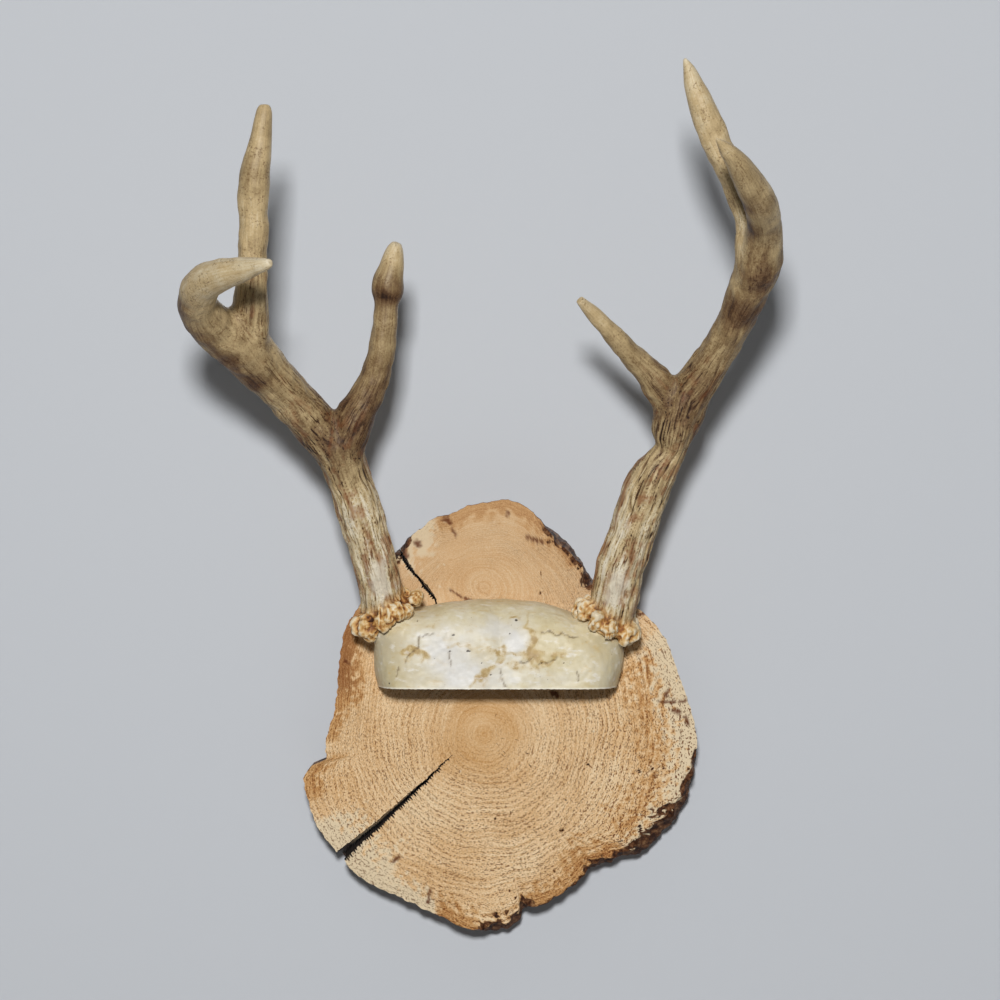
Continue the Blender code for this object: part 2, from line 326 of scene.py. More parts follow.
def across(path):
    """The curve's direction at each point, and two unit vectors across it, carried along
    with as little twist as possible."""
    ahead = np.gradient(path[:, :3], axis=0)
    ahead /= np.linalg.norm(ahead, axis=1, keepdims=True)
    side = np.cross(ahead[0], (0, 1, 0))
    sides = []
    for direction in ahead:
        side = side - direction * side.dot(direction)
        side = side / np.linalg.norm(side)
        sides.append(side)
    sides = np.array(sides)
    return ahead, sides, np.cross(ahead, sides)


def grid_faces(rows, columns):
    """Four-sided faces of a grid that closes round its columns, with a flat end at each
    end of its rows."""
    i, j = np.mgrid[:rows - 1, :columns]
    k = (j + 1) % columns
    sides = np.stack([i * columns + j, i * columns + k,
                      (i + 1) * columns + k, (i + 1) * columns + j], axis=-1)
    ends = [list(range(columns))[::-1], list(range((rows - 1) * columns, rows * columns))]
    return sides.reshape(-1, 4).tolist() + ends


def bar(path, sides=32):
    """A round bar along a path of (x, y, z, radius): centre + radius * (cos a, sin a) in
    the plane across the path."""
    _, one, two = across(path)
    angle = np.linspace(0, math.tau, sides, endpoint=False)[None, :, None]
    rings = path[:, None, :3] + path[:, 3, None, None] * (
        np.cos(angle) * one[:, None] + np.sin(angle) * two[:, None])
    return rings.reshape(-1, 3), grid_faces(len(path), sides)


def lump(centre, radii, axes=np.eye(3), rows=9, columns=14):
    """An egg: centre + radii * the unit sphere, along three axes."""
    tilt = np.linspace(0.12, math.pi - 0.12, rows)[:, None]
    turn = np.linspace(0, math.tau, columns, endpoint=False)[None]
    sphere = np.stack([np.sin(tilt) * np.cos(turn), np.sin(tilt) * np.sin(turn),
                       np.cos(tilt) + 0 * turn], axis=-1)
    points = np.array(centre) + (sphere * radii) @ np.array(axes)
    return points.reshape(-1, 3), grid_faces(rows, columns)


# %% Making and reading meshes
def make_mesh(name, solids):
    """One mesh object from several (points, faces), given in millimetres."""
    points, faces, base = [], [], 0
    for solid_points, solid_faces in solids:
        points.append(np.asarray(solid_points, float) * MM)
        faces += [[index + base for index in face] for face in solid_faces]
        base += len(solid_points)
    mesh = bpy.data.meshes.new(name)
    mesh.from_pydata(np.concatenate(points).tolist(), [], faces)
    obj = bpy.data.objects.new(name, mesh)
    SCENE.collection.objects.link(obj)
    return obj


def keep_modifiers(obj):
    """Replace an object's mesh by the one that its modifiers give."""
    shown = obj.evaluated_get(bpy.context.evaluated_depsgraph_get())
    mesh = bpy.data.meshes.new_from_object(shown)
    obj.modifiers.clear()
    obj.data, old = mesh, obj.data
    bpy.data.meshes.remove(old)


def skin(name, solids, voxel):
    """One closed skin round overlapping solids, on a grid of voxel millimetres."""
    obj = make_mesh(name, solids)
    modifier = obj.modifiers.new("skin", "REMESH")
    modifier.mode, modifier.voxel_size = "VOXEL", voxel * MM
    keep_modifiers(obj)
    return obj


def read_points(obj):
    """An object's points, in millimetres."""
    flat = np.empty(len(obj.data.vertices) * 3, np.float32)
    obj.data.vertices.foreach_get("co", flat)
    return flat.reshape(-1, 3).astype(float) / MM


def write_points(obj, points):
    """Move an object's points, and shade it smooth."""
    obj.data.vertices.foreach_set("co", (points * MM).astype(np.float32).ravel())
    obj.data.shade_smooth()
    obj.data.update()


def read_normals(obj):
    """The outward direction at each point."""
    flat = np.empty(len(obj.data.vertices) * 3, np.float32)
    obj.data.vertex_normals.foreach_get("vector", flat)
    return flat.reshape(-1, 3).astype(float)


def store(obj, **fields):
    """Keep a number for each point as an attribute that materials can read."""
    for name, field in fields.items():
        layer = obj.data.attributes.new(name, "FLOAT", "POINT")
        layer.data.foreach_set("value", np.asarray(field, np.float32))


def neighbours(obj):
    """Both ends of every edge."""
    flat = np.empty(len(obj.data.edges) * 2, np.int32)
    obj.data.edges.foreach_get("vertices", flat)
    return flat.reshape(-1, 2)


def relax(points, edges, rounds, share=0.5):
    """Move each point towards the mean of its neighbours: p + share * (mean - p), again
    and again.  share may differ from point to point."""
    ends = np.concatenate([edges, edges[:, ::-1]])
    count = np.bincount(ends[:, 0], minlength=len(points))[:, None]
    share = np.broadcast_to(share, len(points))[:, None]
    for _ in range(rounds):
        mean = np.stack([np.bincount(ends[:, 0], column[ends[:, 1]], len(points))
                         for column in points.T], axis=-1) / count
        points = points + share * (mean - points)
    return points


# %% [markdown]
# ## Log slice
# The slice was sawn across a pine trunk where it forked, so its rings run round two piths
# and merge outside both.  A disc of rays from the lower pith follows the waney edge, and
# each point knows its ring, its depth inside the edge and its share of bark, so that the
# finish can follow the grain.  Bark clings to the edge in patches, where the saw left the
# side slanting.  The drying cracks are cut right through by Boolean with ragged wedges,
# because they open into the edge, which no relief of a disc could do.

# %% Slice outline, rings and edge patches
PITH, FORK_PITH = np.array((-6.5, -20.0)), np.array((-6.5, 43.5))
SLICE_THICKNESS = 20
RAYS, FACE_ROWS, SIDE_ROWS, BACK_ROWS = 640, 100, 16, 8
RAY_START = 0.004               # the share of a ray that is left out round the pith
RING_BLEND, EDGE_RING = 10, 80  # how widely the piths' rings merge, and the edge's own ring
BARK_SLANT = 6.5                # how far the side slants at most where bark is left
SLICE_OUTLINE = np.array([
    (-43.5, 59.5), (-39.9, 64.5), (-32.1, 70), (-27.2, 74.4), (-22.8, 74.6), (-18.8, 76),
    (-14, 78.4), (-6, 79.9), (3.5, 81.3), (12, 77.9), (19.1, 70.2), (22.4, 68.1), (28.7, 63.2),
    (34.2, 56), (39.3, 47.3), (48, 39), (60.5, 33.5), (66.5, 27.5), (72.4, 18.7), (76.7, 6.1),
    (81.1, -6), (84.3, -18.5), (85.2, -29.7), (82.6, -42), (79.7, -51.8), (73.8, -60.1),
    (66.3, -67.9), (60.4, -72.2), (52.7, -73.5), (47, -76.4), (40.9, -77.2), (35.6, -82.3),
    (26.3, -90.2), (16.7, -94.8), (9.5, -95.5), (9.2, -101.5), (2.7, -105.2), (-7.5, -105.6),
    (-17.1, -102.4), (-25, -98.1), (-32.1, -95.2), (-43.2, -89.4), (-54.6, -84.9), (-64.3, -77.9),
    (-71.2, -69.3), (-79, -59), (-82.5, -48), (-84.8, -39), (-81.3, -33.2), (-74.4, -30.6),
    (-75.2, -24.5), (-70.8, -9.5), (-69.5, 2), (-68.9, 14.5), (-66.4, 26.7), (-61.4, 34),
    (-55, 44.5),
])
EDGE_PATCHES = {                # (from bearing, to bearing, depth): degrees and millimetres
    "bark": [(-12, -4, 2.5), (-24, -10, 4.5), (-42, -20, 9.0), (-54, -40, 4.5),
             (-73, -54, 1.6), (-92, -74, 6.5), (60, 74, 4.5), (54, 59, 6.0), (111, 118, 3.5)],
    "amber": [(134, 168, 11.0), (136, 164, 7.0), (-194, -178, 6.0), (-172, -160, 10.0),
              (60, 104, 7.0), (-108, -60, 9.0), (-60, -40, 16.0), (-36, 26, 24.0)],
    "pale": [(-38, 30, 13.0), (-152, -124, 17.0), (-128, -106, 8.0), (104, 116, 12.0)],
}
SLICE_MARKS = [                 # knots, specks and hair cracks: half width, then (x, z) corners
    (1.6, [(-35.7, 62.5), (-34.9, 61.8)]), (0.35, [(-23, 75), (-21.5, 70.5), (-18.8, 65.5)]),
    (0.30, [(-21.5, 42.5), (-16.3, 39.1), (-10.8, 37.4)]), (1.1, [(-24, 73), (-21.5, 71)]),
    (0.8, [(71.2, -3.4), (71.8, -1.6)]), (0.5, [(68.5, -5.6), (74, -6), (80.5, -5.2)]),
    (1.2, [(74.8, -9.6), (76.6, -10)]), (0.7, [(79.8, -12.2), (80.8, -15)]),
    (1.2, [(22.6, -1.6), (24.5, -3.0)]),
    (0.6, [(66.5, -37.5), (67, -37)]), (0.7, [(-31, -92), (-30.2, -87)]),
    (0.5, [(58, 31.5), (66, 33)]), (0.6, [(3.0, 74), (3.6, 76)]), (0.8, [(12, 65), (18, 63)]),
    (0.9, [(-45.5, -74), (-43.5, -72.5)]), (0.5, [(-66.8, 12), (-65.2, 11)]),
    (1.7, [(-42.0, 60.5), (-40.6, 57)]),
]
print("slice:", np.ptp(SLICE_OUTLINE, axis=0).round(1), "mm wide and high")


def line_distance(flat, corners):
    """Distance of each point to a line of corners: to the nearest place on each stretch,
    a + t (b - a) with t kept from 0 to 1."""
    knots, best = np.array(corners, float), np.inf
    for a, b in zip(knots, knots[1:]):
        t = np.clip((flat - a) @ (b - a) / (b - a).dot(b - a), 0, 1)[:, None]
        best = np.minimum(best, np.linalg.norm(flat - a - t * (b - a), axis=1))
    return best


def edge_reach(bearing):
    """How far the edge lies from the pith along each bearing, in radians."""
    corner = SLICE_OUTLINE - PITH
    return np.interp(bearing, np.arctan2(corner[:, 1], corner[:, 0]),
                     np.linalg.norm(corner, axis=1), period=math.tau)


def edge_patch(kind, bearing, depth):
    """1 inside a patch and 0 outside: the patch lies between two bearings, down to a
    ragged depth inside the edge."""
    turn = np.degrees(bearing)
    ragged = 1 + 0.9 * noise(np.stack([turn / 2.5, depth / 2.5, 0 * turn], -1), 71, 2)
    inside = 0
    for first, last, deep in EDGE_PATCHES[kind]:
        middle, half = (first + last) / 2, (last - first) / 2
        off = np.abs((turn - middle + 180) % 360 - 180)
        here = 1 - step(off + 1.5 * ragged, half, half + 3.5)
        inside = np.maximum(inside, here * (1 - step(depth, 0.5 * deep * ragged,
                                                     1.1 * deep * ragged)))
    return inside


def slice_points():
    """Rows of points: out over the face, back along the side, and in over the back."""
    turn = np.linspace(-math.pi, math.pi, RAYS, endpoint=False)[None]
    circle = np.stack([np.cos(turn), np.sin(turn), 0 * turn], axis=-1)
    edge = edge_reach(turn) + 0.5 * noise(circle * 22, 61, 3) + 0.1
    slant = 0.85 * sum(deep * bell(np.abs((np.degrees(turn) - (a + b) / 2 + 180) % 360 - 180),
                                   0, (b - a) / 2.6)
                       for a, b, deep in EDGE_PATCHES["bark"] if deep > 1.5)
    slant = np.minimum(slant, BARK_SLANT) * (1 + 0.5 * noise(circle * 14, 62)) + 0.15
    out = np.linspace(RAY_START, 1, FACE_ROWS)[:, None]
    face = out * (edge - slant)
    run = np.linspace(0, 1, SIDE_ROWS)[:, None]
    furrow = noise(circle * 26 + run[..., None] * (0, 0, 1.3), 63, 3)
    side = edge - slant * (1 - step(run, 0, 0.55)) + 0.8 * (furrow - 0.8) * np.sin(run * math.pi)
    back = edge * np.linspace(1, RAY_START, BACK_ROWS)[:, None]
    radius = np.concatenate([face, side[1:-1], back])
    depth = np.concatenate([0 * face, (side * 0 + run * SLICE_THICKNESS)[1:-1],
                            0 * back + SLICE_THICKNESS])
    x, z = PITH[0] + radius * np.cos(turn), PITH[1] + radius * np.sin(turn)
    return np.stack([x, depth - SLICE_THICKNESS, z], axis=-1).reshape(-1, 3)


def slice_fields(points):
    """The ring each point lies in, and its share of bark, amber stain and pale sapwood.
    The ring is the smooth least of its distances to both piths, -b ln(sum of
    exp(-distance / b)), and it leans towards the edge's own shape near the edge."""
    flat = points[:, [0, 2]]
    offset = flat - PITH
    bearing, reach = np.arctan2(offset[:, 1], offset[:, 0]), np.linalg.norm(offset, axis=1)
    edge = edge_reach(bearing)
    fork_reach = np.linalg.norm(flat - FORK_PITH, axis=1)
    ring = -RING_BLEND * np.log(np.exp(-reach / RING_BLEND) + np.exp(-fork_reach / RING_BLEND))
    lean = step(reach / edge, 0.70, 1.0)
    ring = ring * (1 - lean) + lean * EDGE_RING * reach / edge
    wave = np.stack([flat[:, 0], 0 * reach, flat[:, 1]], axis=-1)
    ring = ring + 1.6 * noise(wave / 22, 64, 2)
    fields = {kind: edge_patch(kind, bearing, edge - reach) for kind in EDGE_PATCHES}
    side = step(points[:, 1], -SLICE_THICKNESS + 3, -SLICE_THICKNESS + 7)
    side *= step(reach, 0.90 * edge, 0.97 * edge)
    fields["bark"] = np.maximum(fields["bark"], side)
    torn = flat + 0.7 * np.stack([noise(wave / 1.1, 67), noise(wave / 1.1, 68)], axis=-1)
    mark = np.maximum.reduce([1 - step(line_distance(torn, corners), 0.4 * half, 0.5 + half)
                              for half, corners in SLICE_MARKS])
    return {"ring": ring, "mark": mark, **fields}


# %% Cracks, and the holes for the screws
CRACKS = {                      # closed tip, then (x, z, width of the upper and lower side)
    "long_crack": [(-19.5, -27.8, 0, 0), (-30, -37.5, 0.5, 0.4), (-42, -48.5, 1.0, 1.0),
                   (-53, -58.5, 1.4, 1.8), (-62, -65.5, 1.4, 2.6), (-68, -70, 1.5, 4.0),
                   (-78, -79, 3.2, 5.0)],
    "short_crack": [(-26.3, 33.2, 0, 0), (-29, 38.5, 0.7, 0.4), (-32.5, 43.5, 1.1, 0.9),
                    (-35.5, 47, 0.5, 0.5), (-39.5, 51.5, 0.8, 0.9), (-41.8, 55.0, 1.0, 0.9),
                    (-43.4, 58.4, 0.5, 0.4), (-45.5, 62, 0.25, 0.25)],
}
TOOTH_SPACING = 0.55            # between the torn fibres along a crack
SCREWS = {"left": (-42, 21), "right": (39, 17.5)}
SCREW_RADIUS, SCREW_HEAD_RADIUS, SCREW_LENGTH, GAP = 2.0, 4.2, 33.0, 0.3
HEAD_FACE, HEAD_RIM, HEAD_FOOT = 0.8, 1.0, 3.0  # how far the head's parts lie in the slice


def crack_wedge(stations, seed):
    """A wedge through the slice along a crack.  The upper side is clean, and the lower
    side has the ragged teeth of torn fibres."""
    knots = np.array(stations, float)
    along = np.append(0, np.linalg.norm(np.diff(knots[:, :2], axis=0), axis=1).cumsum())
    run = np.arange(0, along[-1], TOOTH_SPACING)
    x, z, upper, lower = (np.interp(run, along, column) for column in knots.T)
    ahead = np.gradient(np.stack([x, z], -1), axis=0)
    ahead /= np.linalg.norm(ahead, axis=1, keepdims=True)
    up = np.stack([ahead[:, 1], -ahead[:, 0]], axis=-1)
    up *= np.sign(up[:, 1:])
    draw = np.random.default_rng(seed)
    ease = step(run, 0, 6)
    teeth = draw.uniform(0, 0.022 * along[-1] + 0.4, len(run)) * (np.arange(len(run)) % 2) * ease
    sway = 0.35 * draw.normal(0, 1, len(run)).cumsum() / np.sqrt(np.arange(1, len(run) + 1))
    path = np.stack([x, z], -1) + (sway * ease)[:, None] * up
    top = path + (upper + 0.12 * draw.normal(0, 1, len(run)) * ease)[:, None] * up
    bottom = path - (lower * 0.8 + teeth)[:, None] * up
    loop = np.concatenate([top, bottom[:0:-1]])
    spine = np.concatenate([path, path[:0:-1]])
    rows = [np.insert(spine + share * (loop - spine), 1, y, axis=1)
            for y, share in ((3, 0.10), (-SLICE_THICKNESS - 3, 1.13))]
    return np.concatenate(rows), grid_faces(2, len(loop))


def turned(foot, profile, columns=40):
    """A round shape turned about a line along -Y from foot, through (distance, radius)."""
    angle = np.linspace(0, math.tau, columns, endpoint=False)
    rows = [np.stack([foot[0] + r * np.cos(angle), 0 * angle - y, foot[1] + r * np.sin(angle)],
                     axis=-1) for y, r in profile]
    return np.concatenate(rows), grid_faces(len(profile), columns)


def outward(obj):
    """Turn an object's faces outwards if its volume comes out negative: a sixth of the sum
    of a . (b x c) over its triangles."""
    obj.data.calc_loop_triangles()
    corners = read_points(obj)[np.array([t.vertices[:] for t in obj.data.loop_triangles])]
    if (corners[:, 0] * np.cross(corners[:, 1], corners[:, 2])).sum() < 0:
        obj.data.flip_normals()


def combine(obj, tool, operation):
    """Boolean an object with a tool, which is then thrown away.  The cut takes the tool's
    material."""
    outward(tool)
    modifier = obj.modifiers.new(operation, "BOOLEAN")
    modifier.object, modifier.operation, modifier.solver = tool, operation, "EXACT"
    modifier.material_mode = "TRANSFER"
    keep_modifiers(obj)
    bpy.data.objects.remove(tool)


# %% Shape the slice's face
# The disc of rays, its face relieved a little along the rings.
log_slice = make_mesh("log_slice_wood", [(slice_points(), grid_faces(
    FACE_ROWS + SIDE_ROWS - 2 + BACK_ROWS, RAYS))])
outward(log_slice)
points = read_points(log_slice)
fields = slice_fields(points)
rings = np.stack([points[:, 0] / 9, fields["ring"] / 1.1, points[:, 2] / 9], axis=-1)
relief = (0.16 + 0.15 * noise(rings, 65, 2)
          + fields["bark"] * (1.1 + 1.3 * noise(points / 1.7, 66, 2)))
points[:, 1] += np.where(points[:, 1] < 0.02 - SLICE_THICKNESS, np.maximum(relief, 0), 0)
write_points(log_slice, points)
print("log slice:", 2 * len(log_slice.data.polygons), "triangles before it is cut")

# %% [markdown]
# ## Pine finish
# End grain is dark and light rings under a rough sawn skin: the blade tears short pits
# that follow the rings.  Noise stretched along the ring number gives both, so the pattern
# bends round each pith.  The edge is amber where resin dried, pale where the sapwood is
# clean and near black where bark is left.

# %% Colours, and the finishes of the slice
def paint(code):
    """A colour picked as #rrggbb, as the light that it reflects: ((c + 0.055) / 1.055) ^ 2.4."""
    parts = np.array([int(code[i:i + 2], 16) / 255 for i in (1, 3, 5)])
    light = np.where(parts < 0.04045, parts / 12.92, ((parts + 0.055) / 1.055) ** 2.4)
    return tuple(float(v) for v in light)


def split(place):
    """X, Y and Z of a place, in millimetres."""
    graph = place.graph
    parts = graph.node("ShaderNodeSeparateXYZ", {}, {"Vector": place})
    return [Value(graph, socket) * (1 / MM) for socket in parts.socket.node.outputs]


def join(x, y, z):
    """A place from three values."""
    return x.graph.node("ShaderNodeCombineXYZ", {}, {"X": x, "Y": y, "Z": z})


WHOLE = 1 / MM                  # noise size that leaves a place's own scale alone
YEAR_WIDTH = 2.3                # how thick the trunk grew each year


def pine_finish():
    """Sawn end grain of pine, with resin, sapwood and bark at its edge."""
    g = Graph("pine_end_grain")
    place = g.place()
    x, y, z = split(place)
    ring, mark, bark, amber, pale = (g.attribute(name) for name in (
        "ring", "mark", "bark", "amber", "pale"))

    def grain(along, across, detail=3):
        """Noise drawn out along the rings, in lumps of along by across millimetres."""
        return g.noise(join(x / along, ring / across, z / along), WHOLE, detail)

    lower = z.step(15, -60)
    rightward = x.step(10, 70)
    upper = z.step(25, 40) * x.step(30, 10)
    lines, bands = grain(16, 0.9), grain(40, 6.0)
    year = (ring + (grain(26, 4.0) - 0.5) * 4.5) * (math.tau / YEAR_WIDTH)
    late = year.apply("SINE") * 0.5 + 0.5
    core = ring.step(26, 10) * (1 - upper)
    torn = grain(0.95, 0.42, 2)
    pits = (torn + late * 0.07).step(0.60, 0.67) * (
        0.55 + lower * 0.40 + rightward * 0.30 - upper * 0.45 - core * 0.50
        + (g.noise(place, 18, 2) - 0.5) * 1.2)
    pits = pits.apply("MAXIMUM", 0.0) * (1 - y.step(-19.2, -18.5))
    cloud = g.noise(place, 26, 3)
    fuzz = g.noise(place, 0.6, 3, 0.75)
    tone = (0.27 + (lines - 0.5) * (0.40 + rightward * 0.5) + (bands - 0.5) * 0.35
            + (late - 0.5) * (0.09 - core * 0.05) + (cloud - 0.5) * 0.5
            + (fuzz - 0.5) * 1.05 - (0.42 - torn).step(0.0, 0.10) * 0.20
            + amber * (1 - pale) * 0.38 - pale * 0.42 + core * 0.13)
    wood = g.ramp(tone, [
        (0.0, paint("#ecd3ac")), (0.25, paint("#dfbb8d")), (0.45, paint("#d0a571")),
        (0.65, paint("#bc8a52")), (0.85, paint("#965f33")), (1.0, paint("#683c1d"))])
    wood = g.mix(wood, paint("#c29050"), core * 0.25)
    wood = g.mix(wood, paint("#b8946e"), z.step(20, 40) * 0.40)
    wood = g.mix(wood, paint("#84502b"), amber * x.step(-57, -66) * z.step(-8, 4) * 0.55)
    wood = g.mix(wood, paint("#d6c5a6"), pale * 0.60)
    wood = g.mix(wood, paint("#743f18"), pits * 0.80)
    wood = g.mix(wood, paint("#602c0e"), mark * 0.90)
    flakes = g.noise(join(x / 2.2, y / 9, z / 2.2), WHOLE, 5, 0.65)
    crust_and_painted_light = g.ramp(flakes, [
        (0.28, paint("#160b05")), (0.44, paint("#3d2010")), (0.56, paint("#6b452a")),
        (0.70, paint("#9a7650"))])
    color = g.mix(wood, crust_and_painted_light, bark.step(0.25, 0.55))
    relief = fuzz * 0.5 + lines * 0.5 - pits * 0.9 + flakes * bark * 2.5
    return g.finish(Base_Color=color, Roughness=0.78 + pits * 0.1, Specular_IOR_Level=0.25,
                    Normal=g.bump(relief, 0.30, 0.8))


def torn_finish():
    """The inside of a drying crack, painted near black as painted shade, with torn fibres that run
    through the slice.
    """
    g = Graph("crack_painted_shade")
    x, y, z = split(g.place())
    fibres = g.noise(join(x / 0.7, y / 8, z / 0.7), WHOLE, 4)
    # The crack's walls are painted near black: painted shade deep in the crack.
    color = g.ramp(fibres, [(0.3, paint("#120a05")), (0.7, paint("#3b2412"))])
    return g.finish(Base_Color=color, Roughness=0.9, Normal=g.bump(fibres, 0.4))


# %% Cut the slice and give it its finish
crack_painted_shade = torn_finish()
log_slice.data.materials.append(pine_finish())
for seed, (name, stations) in enumerate(CRACKS.items()):
    wedge = make_mesh(name, [crack_wedge(stations, 80 + seed)])
    wedge.data.materials.append(crack_painted_shade)
    combine(log_slice, wedge, "DIFFERENCE")
for side, foot in SCREWS.items():
    hole = make_mesh(f"{side}_slice_hole", [turned(foot, [
        (-1.0, SCREW_HEAD_RADIUS + GAP), (HEAD_FACE, SCREW_HEAD_RADIUS + GAP),
        (HEAD_FOOT, SCREW_RADIUS + GAP), (SLICE_THICKNESS + 1.0, SCREW_RADIUS + GAP)])])
    hole.data.materials.append(crack_painted_shade)
    combine(log_slice, hole, "DIFFERENCE")
log_slice.data.set_sharp_from_angle(angle=math.radians(40))
store(log_slice, **slice_fields(read_points(log_slice)))
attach(log_slice, "root")
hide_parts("log_slice")
print("log slice:", len(log_slice.data.polygons), "faces")

# %% [markdown]
# ## Antlers
# An antler is one bone that forks.  It swells into a knobbly burr at its foot, its beam is
# furrowed lengthwise where blood vessels ran under the velvet, and its tines are rubbed
# smooth and pale at their tips.  Sweeping one bar for the beam and one for each tine gives
# the run of the bone; a voxel skin joins them without a seam, and relaxing the skin where
# two bars meet webs the forks.  The furrows are then carved in each bar's own coordinates,
# round it and along it, so that they follow every bend.

# %% Where the antlers run
ANTLERS = {
    "left": {
        "foot": (-47.6, -35.5, 31.0),
        "axis": (-0.50, -0.30, 0.81),
        "beam": [
            (-48.8, -37.5, 33.5, 9.4), (-52.2, -45, 51.5, 9.0), (-57.2, -51, 70.5, 9.1),
            (-62.8, -58, 88.5, 9.3), (-67.6, -63, 101, 9.8), (-77.6, -68, 113, 9.6),
            (-89, -77, 126, 9.4), (-98, -86, 135.5, 10.3), (-107, -96, 145.5, 11.3),
            (-116.5, -106, 151.5, 9.6), (-122, -120, 159.5, 7.9), (-118.5, -134, 167, 7.6),
            (-110.5, -146, 170, 6.5), (-102, -155, 171.5, 5.1), (-95.5, -162, 172.5, 3.5),
            (-91.5, -166, 173, 2.5), (-89.5, -168, 173.5, 1.5),
        ],
        "inner_tine": [
            (-66, -62, 95, 6.5), (-64.5, -65, 105, 8.6), (-61, -68, 114.5, 8.4),
            (-55.5, -71, 124.5, 6.9), (-51, -74, 135, 6), (-48, -78.5, 150, 5.5),
            (-47, -81, 161, 5), (-46.5, -82, 167, 6.6), (-46, -83, 171.5, 6.5),
            (-45, -84, 176, 5.4), (-43.3, -86, 184, 3.7), (-42.4, -87, 187.0, 2.0),
        ],
        "back_tine": [
            (-103.5, -93, 144, 9.3), (-102.3, -100.5, 154, 8.4), (-101, -107, 168.5, 6.3),
            (-100, -111, 182.5, 5.8), (-99.5, -114, 196.5, 6), (-99.5, -116, 206, 6.4),
            (-98.7, -118, 214, 6.1), (-97, -119, 222, 5), (-95.6, -120.5, 232, 4.0),
            (-94.9, -121, 238, 3.1), (-94.8, -121, 240.2, 1.8),
        ],
    },
    "right": {
        "foot": (44.2, -35.5, 27.2),
        "axis": (0.50, -0.30, 0.81),
        "beam": [
            (47.4, -37.5, 31, 9.8), (50.7, -45, 51.5, 10.2), (56, -51, 68.5, 9.9),
            (61.2, -57, 84, 9.8), (65.8, -60.5, 93, 9.0), (71.3, -62.5, 102, 6.7),
            (72.7, -65, 110, 9.7), (75, -67.5, 118, 10.0), (81.3, -72, 129, 9.0),
            (89, -80, 140.5, 7.6), (96, -90, 153, 7.6), (101, -100, 165.5, 8.3),
            (104.5, -108, 175, 9.5), (106, -115, 183, 8.6), (106.3, -124, 190.5, 7.1),
            (103.5, -140, 199, 6.8), (98.5, -151, 206, 6.1), (93.5, -160, 212.5, 4.7),
            (88.5, -167, 217.5, 3.1), (84, -172, 221.3, 0.6),
        ],
        "inner_tine": [
            (75, -65, 111, 6.5), (72, -67.5, 120.5, 7.9), (66.8, -71.5, 128, 7.2),
            (61.6, -75, 134, 5.9), (56, -79, 139.5, 5.2), (49.4, -84, 146, 4.5),
            (43.2, -89, 152.5, 3.7), (37, -93.6, 158.7, 2.9), (32.6, -98, 162.8, 1.8),
        ],
        "back_tine": [
            (104.5, -107, 172, 7), (102.5, -110, 180.5, 7.8), (102.3, -112, 191, 6.6),
            (99.3, -114, 201, 6.3), (90, -119, 219.5, 6.0), (85, -121, 230, 5.9),
            (81, -123, 240, 5.3), (78, -124, 247.5, 4.1), (76, -125, 253.5, 2.6),
            (74, -126, 258.3, 0.6),
        ],
    },
}
BRANCHES = ("beam", "inner_tine", "back_tine")
ANTLER_VOXEL = 0.57
paths = {side: {name: smooth_curve(ANTLERS[side][name], 1.0) for name in BRANCHES}
         for side in ANTLERS}
for side, branches in paths.items():
    print(side, {name: f"{len(path)} mm" for name, path in branches.items()})


# %% Burr: a crown of knobs round the antler's foot
def burr_axes(side):
    """Unit vectors of the burr: two across it, then the way it faces."""
    axis = np.array(ANTLERS[side]["axis"])
    axis = axis / np.linalg.norm(axis)
    one = np.cross(axis, (0, 1, 0))
    one /= np.linalg.norm(one)
    return np.array([one, np.cross(axis, one), axis])


KNOBS, PEARLS = 11, 16          # how many knobs and pearls are scattered round each burr
BURR_KNOBS = {                  # the largest knobs: (x, y, z), then three radii
    "left": [(-58.3, -38.5, 27.0, 4.6, 4.2, 4.6), (-55.0, -42.0, 24.4, 3.4, 3.6, 3.6),
             (-44.0, -47.5, 34.0, 3.6, 3.0, 4.4), (-36.0, -42.0, 39.5, 3.8, 3.6, 3.2)],
    "right": [(45.5, -46.0, 27.2, 5.6, 4.2, 4.6), (55.8, -41.0, 24.8, 4.6, 4.4, 4.8),
              (36.0, -42.0, 35.0, 4.2, 3.8, 3.8), (40.5, -46.5, 32.0, 2.6, 2.4, 2.8)],
}


def burr_lumps(side, seed):
    """Big knobs in an uneven ring round the burr, with small pearls over and above them."""
    draw = np.random.default_rng(seed)
    axes = burr_axes(side)
    foot = np.array(ANTLERS[side]["foot"])
    solids = [lump(foot + 4.0 * axes[2], (12.0, 12.0, 4.4), axes, 9, 32)]
    for turn in np.linspace(0, math.tau, KNOBS, endpoint=False) + draw.normal(0, 0.10, KNOBS):
        reach, height = draw.uniform(11.2, 13.0), draw.uniform(1.2, 4.6)
        out = np.cos(turn) * axes[0] + np.sin(turn) * axes[1]
        local = np.array([out, np.cross(axes[2], out), axes[2]])
        size = draw.uniform((2.8, 2.6, 3.2), (4.2, 4.8, 5.2))
        solids.append(lump(foot + reach * out + height * axes[2], size, local, 9, 16))
    solids += [lump(knob[:3], knob[3:], axes, 11, 20) for knob in BURR_KNOBS[side]]
    for turn in draw.uniform(0, math.tau, PEARLS):
        reach = draw.uniform(10.0, 14.6)
        height = 2.5 + (14.6 - reach) * draw.uniform(0.8, 1.9)
        out = np.cos(turn) * axes[0] + np.sin(turn) * axes[1]
        solids.append(lump(foot + reach * out + height * axes[2], draw.uniform(1.2, 2.2), axes,
                           7, 10))
    return solids


